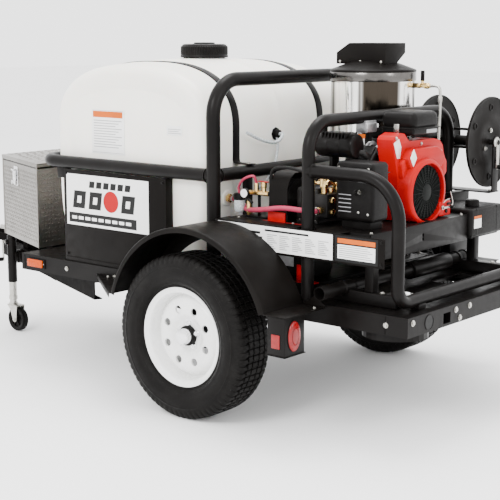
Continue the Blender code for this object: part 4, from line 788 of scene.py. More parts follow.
def fender(side, word):
    """A rolled arch with a turned-in outer lip, a front gusset, a rear shelf and a flat inner skirt."""
    middle = (FENDER_X, FENDER_Z)
    steps = 72
    rows = []
    for k in range(steps + 1):
        a = radians(FENDER_REAR + (180 - FENDER_FRONT - FENDER_REAR) * k / steps)
        c, s = cos(a), sin(a)

        def at(r, y):
            return (FENDER_X + r * c, y, FENDER_Z + r * s)

        lip = [(FENDER_R, FENDER_OUT - 0.01), (FENDER_R - 0.0012, FENDER_OUT - 0.004),
                (FENDER_R - 0.0045, FENDER_OUT - 0.0008), (FENDER_R - 0.009, FENDER_OUT),
                (FENDER_R - 0.022, FENDER_OUT), (FENDER_R - 0.022, FENDER_OUT - 0.003),
                (FENDER_R - 0.009, FENDER_OUT - 0.003), (FENDER_R - 0.0042, FENDER_OUT - 0.01)]
        rows.append([at(FENDER_R, FENDER_IN)] + [at(r, y) for r, y in lip]
                + [at(FENDER_R - 0.0042, FENDER_IN)])
    parts = [skin(rows, angle=40)]
    parts.append(plate(arc(middle, FENDER_R - 0.001, 16, 164, 72) + arc(middle, 0.37, 164, 16, 72), FENDER_IN
            + 0.0005, FENDER_IN + 0.004, "Y", bevel=0.0008))
    gusset = [(AXLE_X - 0.76, FRAME_SIDE), (TIP_X + 0.006, FRAME_SIDE), (TIP_X + 0.006, 0.8085),
            (TIP_X - 0.012, 0.8085)]
    parts.append(plate(gusset, STEP_Z - 0.003, STEP_Z + 0.0015, "Z", bevel=0.0008))
    parts.append(box((TAIL_X - 0.008, FENDER_IN + 0.001, SHELF_Z - 0.003),
            (AXLE_X + 0.545, 0.8085, SHELF_Z + 0.0015), 0.0012))
    # turned-down front edge of the gusset and a stiffening flange on the shelf
    edge = Vector((TIP_X - 0.012, 0.8085, 0)) - Vector((AXLE_X - 0.76, FRAME_SIDE, 0))
    place = frame_at((AXLE_X - 0.76, FRAME_SIDE, STEP_Z), edge, Vector((-edge.y, edge.x, 0)))
    parts.append(placed(box((0.0, -0.003, -0.02), (edge.length, 0.0, 0.001), 0.0008), place))
    flange = [(AXLE_X + 0.43, SHELF_Z), (AXLE_X + 0.545, SHELF_Z), (AXLE_X + 0.545, SHELF_Z + 0.012)]
    flange += arc((AXLE_X + 0.5, SHELF_Z + 0.01), 0.03, 25, 150, 10)
    parts.append(plate(flange, 0.564, 0.568, "Y", bevel=0.0006))
    for x in (-0.37, 0.36):
        parts.append(box((AXLE_X + x, FRAME_SIDE, 0.45), (AXLE_X + x + 0.05, FENDER_IN + 0.003, 0.505),
                0.001))
    heads = bolts([(AXLE_X + x, FENDER_IN + 0.0045, 0.47) for x in (-0.34, 0.385)], (0, 1, 0), 0.007)
    for x, y, z in ((AXLE_X - 0.66, 0.575, STEP_Z), (AXLE_X + 0.52, 0.6, SHELF_Z)):
        heads += bolt((x, y, z + 0.0016), UP, 0.006)
    flip = Matrix.Identity(4) if side > 0 else FLIP
    piece("fender_arch_" + word, "chassis", [(COAT_FLAT, *moved(parts, flip)), (ZINC, *moved(heads, flip))],
            ["fender_" + word])


def light_box(side, word):
    """An open-bottomed steel box with an oval tail lamp and a square side lamp."""
    top = SHELF_Z - 0.0033
    flip = Matrix.Identity(4) if side > 0 else FLIP
    x0, x1 = AXLE_X + 0.452, AXLE_X + 0.537
    shell = [box((x0, 0.683, 0.352), (x1, 0.806, top), 0.003, 3),
            box((AXLE_X + 0.448, 0.679, 0.35), (AXLE_X + 0.541, 0.81, 0.3535), 0.0014)]
    oval = [(0.752 + 0.0375 * cos(2 * pi * k / 48), 0.428 + 0.0615 * sin(2 * pi * k / 48)) for k in range(48)]
    rim = plate(oval, x1 - 0.001, x1 + 0.0028, "X", bevel=0.001)
    square = box((x0 + 0.02, 0.805, 0.38), (x0 + 0.064, 0.8072, 0.438), 0.001)
    piece("light_case_" + word, "chassis", [(COAT, *moved((*shell, rim, square), flip))],
            ["light_box_" + word])
    rows = []
    for r, x in ((1.0, 0.0), (1.0, 0.004), (0.95, 0.0075), (0.85, 0.0095), (0.6, 0.0105), (0.57, 0.0085),
            (0.53, 0.0085), (0.5, 0.011), (0.2, 0.0118)):
        ring = []
        for k in range(48):
            a = 2 * pi * k / 48
            ring.append((x1 + 0.0005 + x, 0.752 + 0.0355 * r * cos(a), 0.428 + 0.0595 * r * sin(a)))
        rows.append(ring)
    lens = [skin(rows, angle=50)]
    ribs = [box((x1 + 0.006, 0.752 - 0.024, 0.428 + z - 0.0007),
            (x1 + 0.0119, 0.752 + 0.024, 0.428 + z + 0.0007), 0.0004)
            for z in (-0.03, -0.02, -0.01, 0.0, 0.01, 0.02, 0.03)]
    marker = [box((x0 + 0.022, 0.806, 0.382), (x0 + 0.062, 0.8098, 0.436), 0.0016, 3)]
    dots = [ball((x0 + 0.03 + 0.008 * i, 0.8094, 0.392 + 0.0085 * j), 0.003, (1, 0.25, 1), 10)
            for i in range(4) for j in range(5)]
    piece("tail_lens_" + word, "chassis", [(RED_LENS, *moved((*lens, *ribs), flip))], ["tail_lamp_" + word])
    piece("side_lens_" + word, "chassis", [(RED_LENS, *moved((*marker, *dots), flip))])


def marker(side, word):
    """An amber lamp in a black base on the frame's front corner."""
    flip = Matrix.Identity(4) if side > 0 else FLIP
    x0, x1 = AXLE_X - 1.241, AXLE_X - 1.115
    base = box((x0, FRAME_SIDE, 0.455), (x1, FRAME_SIDE + 0.0055, 0.5), 0.0015)
    lens = [box((x0 + 0.01, FRAME_SIDE + 0.004, 0.4595), (x1 - 0.01, FRAME_SIDE + 0.0152, 0.4955), 0.0045, 3)]
    for k in range(7):
        x = x0 + 0.024 + 0.013 * k
        lens.append(box((x, FRAME_SIDE + 0.012, 0.465), (x + 0.006, FRAME_SIDE + 0.016, 0.49), 0.0012))
    screws = []
    for x in (x0 + 0.0055, x1 - 0.0055):
        screws.append(rod((x, FRAME_SIDE + 0.005, 0.4775), (x, FRAME_SIDE + 0.0075, 0.4775), 0.0035, 16,
                0.0006))
    piece("marker_lens_" + word, "chassis", [(AMBER_LENS, *moved(lens, flip)), (PLASTIC, placed(base, flip)),
            (ZINC, *moved(screws, flip))], ["marker_lamp_" + word])


# ---------------------------------------------------------------- panels and their plain signs


def tile(x0, z0, x1, z1, face, out, lift=0.0):
    """A thin printed patch on a face that looks along Y."""
    low, high = sorted((face, face + out * (0.0004 + lift)))
    return box((x0, low, z0), (x1, high, z1), 0.0)


def slanted(x0, z0, x1, z1, lean, face, out, lift=0.0):
    low, high = sorted((face, face + out * (0.0004 + lift)))
    return plate([(x0, z0), (x1, z0), (x1 + lean, z1), (x0 + lean, z1)], low, high, "Y")


def side_panel(side, word):
    """A folded sheet between the frame and the guard, with a plain painted sign: bars, blocks and a disc."""
    panel_top = GUARD_Z - 0.0295
    x0, x1 = AXLE_X - 0.975, AXLE_X - 0.325
    face = side * 0.545
    low, high = sorted((side * 0.541, face))
    inner, outer = sorted((side * 0.5, side * 0.543))
    sheet = [box((x0, low, ON_FRAME), (x1, high, panel_top), 0.0012)]
    sheet += [box((x, inner, ON_FRAME), (x + 0.004, outer, panel_top), 0.001)
            for x in (x0 + 0.001, x1 - 0.005)]
    near, far = sorted((face - side * 0.001, face + side * 0.0022))
    sheet.append(box((x0 + 0.004, near, ON_FRAME + 0.01), (x1 - 0.004, far, ON_FRAME + 0.022), 0.001))
    heads = bolts([(x, face, z) for x in (x0 + 0.018, x1 - 0.018)
            for z in (ON_FRAME + 0.035, panel_top - 0.02)], (0, side, 0), 0.0055, 0.003)
    piece("panel_sheet_" + word, "chassis", [(COAT_FLAT, *sheet), (COAT, *heads)], ["side_panel_" + word])

    s0, s1, z0, z1 = -0.292, 0.236, 0.69, 0.925
    ground = [tile(s0, z0, s1, z1, face, side)]
    top = face + side * 0.0004
    # two rows of plain blocks beside a disc
    black = [tile(s0 + 0.015, z0 + 0.012, s1 - 0.075, z0 + 0.058, top, side)]
    for k in range(4):
        x = s0 + 0.04 + 0.105 * k
        if k == 2:
            continue
        black.append(slanted(x, z0 + 0.08, x + 0.08, z0 + 0.16, 0.012, top, side))
    for k in range(6):
        x = s0 + 0.15 + 0.046 * k
        black.append(slanted(x, z0 + 0.178, x + 0.034, z0 + 0.208, 0.005, top, side))
    white = []
    for k in range(9):
        x = s0 + 0.035 + 0.044 * k
        white.append(tile(x, z0 + 0.028, x + 0.032, z0 + 0.042, top + side * 0.0004, side))
    for k in (0, 1, 3):
        x = s0 + 0.04 + 0.105 * k
        white.append(slanted(x + 0.03, z0 + 0.104, x + 0.056, z0 + 0.136, 0.005, top + side * 0.0004, side))
    low, high = sorted((top, top + side * 0.0009))
    red = [plate(circle((s0 + 0.292, z0 + 0.124), 0.048, 40), low, high, "Y")]
    piece("panel_sign_" + word, "chassis", [(WHITE_VINYL, *ground, *white), (BLACK_VINYL, *black),
            (RED_VINYL, *red)])


def skid_sheet():
    """The long plate on the skid's left side with its plain instruction sheet and caution patch."""
    sheet = [box((AXLE_X - 0.03, -0.5598, 0.69), (AXLE_X + 0.815, -0.5568, 0.8033), 0.001)]
    sheet += [box((AXLE_X + low, -0.559, 0.8003), (AXLE_X + high, -0.47, 0.8033), 0.0008)
            for low, high in ((-0.03, 0.38), (0.47, 0.6))]
    heads = bolts([(AXLE_X + x, -0.5598, z) for x in (-0.015, 0.8) for z in (0.704, 0.789)], LEFTWARD, 0.005,
            0.003)
    piece("skid_plate", "chassis", [(COAT_FLAT, *sheet), (COAT, *heads)], ["skid_panel"])
    face, out = -0.5598, -1
    x0, x1, z0, z1 = AXLE_X - 0.012, AXLE_X + 0.575, 0.698, 0.798
    ground = [tile(x0, z0, x1, z1, face, out)]
    top = face - 0.0004
    black = [tile(x0 + 0.25, z1 - 0.02, x0 + 0.47, z1 - 0.012, top, out),
            tile(x0 + 0.03, z1 - 0.022, x0 + 0.11, z1 - 0.01, top, out)]
    for row, (start, width) in enumerate(((0.165, 0.06), (0.16, 0.075), (0.17, 0.062))):
        z = z0 + 0.066 - 0.02 * row
        black.append(slanted(x0 + start, z, x0 + start + width, z + 0.01, 0.003, top, out))
    grey = []
    for column in range(5):
        left = x0 + 0.262 + 0.064 * column
        for row in range(8):
            z = z0 + 0.066 - 0.0076 * row
            width = 0.05 - 0.007 * ((row * 3 + column) % 4)
            grey.append(tile(left, z, left + width, z + 0.003, top, out))
    piece("skid_sign", "chassis", [(WHITE_VINYL, *ground), (BLACK_VINYL, *black), (GREY_VINYL, *grey)])
    x2, x3 = x1 + 0.012, AXLE_X + 0.785
    dark = [tile(x2, z0, x3, z1, face, out)]
    pale = [tile(x2 + 0.012, z0 + 0.012, x3 - 0.012, z0 + 0.066, top, out)]
    lines = [tile(x2 + 0.02, z0 + 0.018 + 0.008 * k, x3 - 0.024 - 0.011 * (k % 3), z0 + 0.0205 + 0.008 * k,
            top - 0.0004, out) for k in range(6)]
    orange = [tile(x2 + 0.012, z0 + 0.072, x3 - 0.012, z0 + 0.09, top, out)]
    piece("skid_caution", "chassis", [(BLACK_VINYL, *dark), (WHITE_VINYL, *pale), (GREY_VINYL, *lines),
            (ORANGE_VINYL, *orange)])


def tank_labels():
    """Two blank labels on the tank's left end: one with an orange header, one small and white."""
    low, high = -TANK_WIDTH - 0.0014, -TANK_WIDTH + 0.0002
    x0, z0, x1, z1 = -0.165, 1.022, 0.045, 1.222
    card = [box((x0, low, z0), (x1, high, z1), 0.0003)]
    header = [box((x0 + 0.01, low - 0.0003, z1 - 0.036), (x1 - 0.01, low, z1 - 0.008), 0.0)]
    border = [box((x0 + 0.006, low - 0.0003, z), (x1 - 0.006, low, z + 0.0016), 0.0)
            for z in (z0 + 0.006, z1 - 0.006)]
    lines = []
    for k in range(11):
        z = z1 - 0.052 - 0.0118 * k
        lines.append(box((x0 + 0.014, low - 0.0003, z), (x1 - 0.016 - 0.02 * (k % 3), low, z + 0.0036), 0.0))
    small = [box((0.305, low, 1.128), (0.395, high, 1.168), 0.0003)]
    dashes = [box((0.313, low - 0.0003, 1.135 + 0.0085 * k),
            (0.388 - 0.012 * (k % 2), low, 1.138 + 0.0085 * k), 0.0) for k in range(3)]
    piece("tank_labels", "chassis", [(WHITE_VINYL, *card, *small), (ORANGE_VINYL, *header),
            (GREY_VINYL, *border, *lines, *dashes)])


for side, word in SIDES:
    fender(side, word)
    light_box(side, word)
    marker(side, word)
    side_panel(side, word)
skid_sheet()
tank_labels()

# ---------------------------------------------------------------- toolbox, jack and frame details

BOX_REAR = -0.636
BOX_LENGTH = 0.5
BOX_HALF = 0.43
BOX_LOW = 0.52
BOX_TOP = 0.915
TONGUE = radians(21.7)
LID_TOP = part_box("toolbox_lid")[1].z


def box_half(x, inset=0.0):
    return BOX_HALF - (BOX_REAR - x) * tan(TONGUE) - inset


def tread(origin, along, up, width, height, pitch=0.0205):
    """Raised lozenges in alternating directions on a flat sheet."""
    origin, along, up = Vector(origin), Vector(along).normalized(), Vector(up).normalized()
    out = along.cross(up)
    shape = bmesh.new()
    rows, columns = int(height / pitch), int(width / pitch)
    left, base = (width - (columns - 1) * pitch) / 2, (height - (rows - 1) * pitch) / 2
    for j in range(rows):
        for i in range(columns):
            a = radians(45 if (i + j) % 2 else -45)
            centre = origin + along * (left + i * pitch) + up * (base + j * pitch)
            long, wide = along * cos(a) + up * sin(a), up * cos(a) - along * sin(a)
            corners = [centre + long * 0.0105, centre + wide * 0.0034, centre - long * 0.0105,
                    centre - wide * 0.0034]
            ridge = [centre + long * 0.0055 + out * 0.002, centre - long * 0.0055 + out * 0.002]
            v = [shape.verts.new(p) for p in corners + ridge]
            for face in ((0, 1, 4), (1, 2, 5, 4), (2, 3, 5), (3, 0, 4, 5)):
                shape.faces.new([v[n] for n in face])
    mesh = bpy.data.meshes.new("tread")
    shape.to_mesh(mesh)
    shape.free()
    mesh.shade_smooth()
    return mesh


def tongue_frame(point, out=0.0):
    """A frame on the left drawbar member: X forward along it, Y away from it."""
    along = Vector((-cos(TONGUE), sin(TONGUE), 0))
    normal = Vector((-sin(TONGUE), -cos(TONGUE), 0))
    place = Matrix((along, normal, Vector(UP))).transposed().to_4x4()
    place.translation = Vector(point) + normal * out
    return place


def toolbox():
    """Tread-plate box that narrows with the drawbar, its lid, hinge and draw latch."""
    front = BOX_REAR - BOX_LENGTH
    corners = [Vector((BOX_REAR, -box_half(BOX_REAR), 0)), Vector((front, -box_half(front), 0)),
            Vector((front, box_half(front), 0)), Vector((BOX_REAR, box_half(BOX_REAR), 0))]
    outline = [(c.x, c.y) for c in corners]
    inner = [(BOX_REAR - 0.004, -box_half(BOX_REAR, 0.0043)), (front + 0.004, -box_half(front, 0.0043)),
            (front + 0.004, box_half(front, 0.0043)), (BOX_REAR - 0.004, box_half(BOX_REAR, 0.0043))]
    walls = [plate(outline, BOX_LOW, BOX_TOP, "Z", holes=(inner,)),
            plate(inner, BOX_LOW, BOX_LOW + 0.004, "Z")]
    sheets = []
    for second, first in zip(corners, corners[1:] + corners[:1]):
        along = second - first
        sheets.append(tread(first + Vector((0, 0, BOX_LOW + 0.01)) + along.normalized() * 0.01, along, UP,
                along.length - 0.02, BOX_TOP - BOX_LOW - 0.03))
    seams = [rod(c + Vector((0, 0, BOX_LOW)), c + Vector((0, 0, BOX_TOP)), 0.0035, 16) for c in corners]
    piece("toolbox_shell", "chassis", [(TREAD_ALUMINIUM, *walls, *sheets, *seams)], ["toolbox_body"])
    inside = [(BOX_REAR - 0.01, -box_half(BOX_REAR, 0.011)), (front + 0.01, -box_half(front, 0.011)),
            (front + 0.01, box_half(front, 0.011)), (BOX_REAR - 0.01, box_half(BOX_REAR, 0.011))]
    gasket = plate(outline, BOX_TOP - 0.0075, BOX_TOP - 0.0002, "Z", holes=(inside,))
    piece("toolbox_gasket", "chassis", [(BELT, gasket)])

    low = BOX_TOP + 0.0003
    over = 0.004
    lid_outline = [(BOX_REAR + over, -box_half(BOX_REAR, -over)), (front - over, -box_half(front, -over)),
            (front - over, box_half(front, -over)), (BOX_REAR + over, box_half(BOX_REAR, -over))]
    lid = [plate(lid_outline, low, LID_TOP - 0.0014, "Z", bevel=0.0025, segments=3)]
    strips = 9
    for k in range(strips):
        xa = front + BOX_LENGTH * k / strips
        xb = front + BOX_LENGTH * (k + 1) / strips
        half = box_half(xa, 0.012)
        lid.append(tread((xa, half, LID_TOP - 0.0015), LEFTWARD, REARWARD, 2 * half, xb - xa, 0.0555 / 2.2))
    hinge = BOX_REAR + 0.012
    barrel = [rod((hinge, -0.34 + 0.0855 * k, low + 0.006), (hinge, -0.34 + 0.0855 * k + 0.0825, low + 0.006),
            0.006, 20, 0.0008) for k in range(8)]
    barrel.append(box((BOX_REAR, -0.34, low + 0.003), (hinge, 0.34, low + 0.009), 0.001))
    piece("toolbox_cover", "box_lid", [(TREAD_ALUMINIUM, *lid), (ZINC, *barrel)], ["toolbox_lid"])

    latch_x = BOX_REAR - 0.3
    place = tongue_frame((latch_x, -box_half(latch_x), 0.0))
    keeper = [box((-0.028, -0.002, 0.795), (0.028, 0.0035, 0.893), 0.0015)]
    keeper += [box((x, 0.0, 0.8), (x + 0.004, 0.018, 0.822), 0.0012) for x in (-0.026, 0.022)]
    piece("latch_keeper", "chassis", [(CHROME, *moved(keeper, place))])
    lever = [box((-0.02, 0.0085, 0.8075), (0.02, 0.0125, 0.88), 0.0015),
            box((-0.02, 0.0085, 0.872), (0.02, 0.021, 0.88), 0.0015),
            rod((-0.0215, 0.0105, 0.811), (0.0215, 0.0105, 0.811), 0.0038, 20, 0.0006),
            rod((0, 0.012, 0.846), (0, 0.015, 0.846), 0.01, 28, 0.0008)]
    piece("latch_lever", "box_latch", [(CHROME, *moved(lever, place))], ["toolbox_latch"])


def jack():
    """Round-tube jack with a swivel disc, a pull pin, a zinc collar and a cranked handle."""
    place = tongue_frame((AXLE_X - 1.75, -0.1634, 0.0), 0.056)
    z = 0.394

    tube = turned(mm((0, 512), (17, 512), (22.5, 509.5), (24, 505), (24, 262), (23.2, 260), (20.5, 260),
            (20.5, 505), (0, 505)), (0, 0, 0), UP, 48)
    disc = [rod((0, -0.0437, z), (0, -0.028, z), 0.036, 48, 0.0012),
            rod((0, -0.028, z), (0, -0.008, z), 0.03, 40, 0.001)]
    boss = rod((0, 0.0218, 0.475), (0, 0.034, 0.475), 0.014, 32, 0.0012)
    pin = [rod((0.026, -0.04 + 0.012, z), (0.026, -0.004, z), 0.0045, 16, 0.0006),
            rod((0.026, -0.006, z), (0.026, 0.006, z), 0.0075, 20, 0.001)]
    piece("jack_outer", "jack_column", [(COAT, *moved((tube, *disc, boss), place)),
            (ZINC, *moved(pin, place))], ["jack_tube"])
    leg = turned(mm((0, 165.6), (17.5, 165.6), (20, 168), (20, 400), (0, 400)), (0, 0, 0), UP, 40)
    collar = turned(mm((0, 165.6), (21.8, 165.6), (22.5, 166.5), (22.5, 184), (21.5, 185), (0, 185)),
            (0, 0, 0), UP, 40)
    piece("jack_leg_tube", "jack_inner", [(ZINC, *moved((leg, collar), place))], ["jack_leg"])
    crank = [rod((0, 0.022, 0.475), (0, 0.049, 0.475), 0.006, 20, 0.0006),
            rod((0, 0.043, 0.475), (0, 0.051, 0.475), 0.0105, 24, 0.001),
            plate(arc((0, 0.475), 0.0098, 0, 180, 12) + arc((0, 0.385), 0.0098, 180, 360, 12), 0.0445, 0.0488,
            "Y", bevel=0.0008)]
    grip = turned(mm((0, 0), (8.5, 0), (10.5, 2), (11, 12), (9.8, 26), (11, 40), (10.5, 50), (8, 53),
            (0, 53)), (0, 0.0488, 0.385), (0, 1, 0), 32)
    piece("jack_crank_arm", "jack_handle", [(ZINC, *moved(crank, place)), (PLASTIC, *moved([grip], place))],
            ["jack_crank"])


toolbox()
jack()

# ---------------------------------------------------------------- skid, platform and reel stand

X = AXLE_X
SKID_TOP = 0.566
DECK_TOP = 0.8
DECK_LOW = 0.69
CROSS_Z, CROSS_R = 0.57, 0.0275
PORT_X = X + 0.405
CRANK = CRANK_Y, CRANK_Z = (-0.03, 0.917)
PUMP = (-0.33, 0.885)
PULLEY_X = X + 0.215
HEATER_X = X + 0.19
HEATER_Y = 0.255
HEATER = (HEATER_X, HEATER_Y)
HEATER_R = 0.186
HEATER_TOP = 1.392
REEL = REEL_Y, REEL_Z = (0.605, 1.077)
REEL_X = REEL_FRONT, REEL_REAR = (X + 0.315, X + 0.59)


def skid():
    """Skid rails, the cross tube, the reel stand and their bolts."""
    steel = [box((X - 0.03, y - 0.025, ON_FRAME), (X + 0.8, y + 0.025, SKID_TOP), 0.004, 3)
            for y in (-0.43, 0.43)]
    steel += [box((X + x, -0.44, ON_FRAME + 0.003), (X + x + 0.05, 0.44, SKID_TOP - 0.003), 0.002)
            for x in (0.0, 0.36)]
    steel.append(box((X - 0.02, -0.44, SKID_TOP - 0.004), (X + 0.4, 0.45, SKID_TOP - 0.0005), 0.0012))
    cross = X + 0.55
    steel.append(turned(mm((0, 0), (27.5, 0), (27.5, 1037), (26.8, 1038.5), (24.5, 1038.5), (23.7, 1037),
            (23.7, 930), (0, 930)), (cross, 0.4285, CROSS_Z), LEFTWARD, 48))
    steel.append(rod((cross, 0.42, CROSS_Z), (cross, 0.54, CROSS_Z), CROSS_R, 48, 0.0015))
    steel.append(rod((cross, 0.02, CROSS_Z), (cross, 0.32, CROSS_Z), 0.038, 48, 0.0025))
    for y in (-0.462, -0.398, 0.398, 0.462):
        steel.append(weld((cross, y, CROSS_Z), (0, 1 if y > 0 else -1, 0), CROSS_R))
    steel.append(box((X + 0.6, 0.41, SKID_TOP - 0.01), (X + 0.64, 0.45, DECK_LOW + 0.006), 0.003))
    steel.append(box((X + 0.52, 0.27, DECK_LOW), (X + 0.7, 0.5, DECK_LOW + 0.006), 0.0012))
    foot = REEL_Z - 0.225
    steel.append(box((X + 0.4585, 0.44, ON_FRAME + 0.02), (X + 0.496, 0.6, foot + 0.003), 0.004, 3))
    front, rear = REEL_FRONT - 0.033, REEL_REAR + 0.027
    steel.append(box((front, 0.555, foot), (rear + 0.006, 0.64, foot + 0.006), 0.0012))
    for x in (front, rear):
        upright = [(0.58, foot), (0.63, foot), (0.63, REEL_Z + 0.005)] + arc((0.605, REEL_Z + 0.005), 0.025,
                0, 180, 12)
        steel.append(plate(upright, x, x + 0.006, "X", holes=(circle(REEL, 0.0126, 28),), bevel=0.0008))
        steel.append(plate([(x + 0.0005, foot + 0.004), (x + 0.0055, foot + 0.004),
                (x + 0.0055, foot + 0.006), (x + 0.0005, foot + 0.006)], 0.56, 0.635, "Y"))
    collars = [turned(mm((12.8, 0), (24, 0), (24, 4), (19, 8), (12.8, 8)), (x, *REEL), (way, 0, 0), 36,
            ring=True) for x, way in ((front - 0.0001, -1), (rear + 0.0061, 1))]
    heads = bolts([(x, y, SKID_TOP + 0.0002) for x in (X + 0.06, X + 0.34, X + 0.72) for y in (-0.43, 0.43)],
            UP, 0.008)
    for x in (X + 0.535, X + 0.685):
        heads += bolt((x, 0.48, DECK_LOW + 0.006), UP, 0.006)
    for x in (front + 0.026, rear - 0.02):
        heads += bolt((x, 0.605, foot + 0.006), UP, 0.006)
    piece("skid_frame", "chassis", [(COAT, *steel), (ZINC, *collars, *heads)], ["skid_base"])


def platform():
    """The engine deck with its turned-down sides and legs."""
    back, front, corner = X + 0.7, X - 0.025, X + 0.4
    outline = [(front, -0.485), (back, -0.485), (back, 0.235), (corner, 0.235), (corner, 0.052),
            (front, 0.052)]
    steel = [plate(outline, DECK_TOP - 0.004, DECK_TOP, "Z", bevel=0.0012)]
    slot = arc((-0.11, 0.755), 0.006, 0, 180, 10) + arc((-0.11, 0.735), 0.006, 180, 360, 10)
    skirt = [(-0.485, DECK_LOW), (0.235, DECK_LOW), (0.235, DECK_TOP - 0.0015), (-0.485, DECK_TOP - 0.0015)]
    steel.append(plate(skirt, back - 0.004, back, "X", holes=(slot,), bevel=0.001))
    steel.append(box((front, -0.485, DECK_LOW), (back, -0.481, DECK_TOP - 0.0015), 0.001))
    steel += [box((X + x, y, SKID_TOP + 0.0003), (X + x + 0.04, y + 0.04, DECK_TOP - 0.002), 0.003, 3)
            for x, y in ((0.01, -0.45), (0.65, -0.45))]
    steel.append(box((X + 0.43, 0.19, 0.609), (X + 0.47, 0.233, DECK_TOP - 0.002), 0.003))
    heads = bolts([(X + x, y, DECK_TOP) for x, y in ((0.26, -0.2), (0.26, 0.035), (0.685, -0.46),
            (0.685, 0.21), (0.45, 0.21), (0.02, -0.465), (0.3, -0.455))], UP, 0.0055, 0.0045)
    piece("deck_plate", "chassis", [(COAT, *steel), (ZINC, *heads)], ["engine_platform"])


def reel():
    """Two spun discs on a drum of three bars, with a cranked handle."""
    plates = []
    for x in REEL_X:
        profile = mm((0, 1.2), (60, 1.2), (66, 3.6), (110, 3.6), (118, 1.4), (190, 1.4), (197.5, 3), (201, 6),
                (202.8, 5.2), (203, 0), (202.8, -5.2), (201, -6), (197.5, -3.8), (190, -1.4), (118, -1.4),
                (110, 0.6), (66, 0.6), (60, -1.8), (0, -1.8))
        plates.append(turned(profile, (x, *REEL), REARWARD, 96))
        for k in range(6):
            a = pi / 6 + pi * k / 3
            y, z = REEL_Y + 0.155 * cos(a), REEL_Z + 0.155 * sin(a)
            plates.append(turned(mm((10, -1.5), (10, 3.5), (13, 4.5), (16, 3.5), (16, -1.5)), (x, y, z),
                    REARWARD, 28, ring=True))
    middle = (REEL_FRONT + REEL_REAR) / 2
    core = rods(((REEL_FRONT - 0.04, *REEL), (REEL_REAR + 0.045, *REEL), 0.012, 32, 0.001),
            ((middle - 0.032, *REEL), (middle + 0.032, *REEL), 0.024, 36, 0.002))
    bars, nuts = [], []
    for k in range(3):
        a = pi / 2 + 2 * pi * k / 3
        y, z = REEL_Y + 0.052 * cos(a), REEL_Z + 0.052 * sin(a)
        bars.append(rod((REEL_FRONT - 0.002, y, z), (REEL_REAR + 0.002, y, z), 0.0062, 20, 0.0005))
        nuts += bolt((REEL_REAR + 0.0036, y, z), REARWARD, 0.0075)
    arm = plate([(REEL_Y - 0.008, REEL_Z - 0.11)] + arc((REEL_Y, REEL_Z - 0.11), 0.0105, 180, 360, 12)
            + arc(REEL, 0.0135, 0, 180, 12), REEL_REAR + 0.0385, REEL_REAR + 0.0435, "X", bevel=0.0008)
    grip = turned(mm((0, 0), (8.5, 0), (11, 4), (9.8, 14), (9.8, 40), (11, 56), (9.5, 63.5), (0, 65.5)),
            (REEL_REAR + 0.044, REEL_Y, REEL_Z - 0.11), REARWARD, 32)
    piece("reel_drum", "reel", [(COAT_FLAT, *plates, *core, *bars), (ZINC, arm, *nuts), (PLASTIC, grip)],
            ["hose_reel"])


# ---------------------------------------------------------------- engine


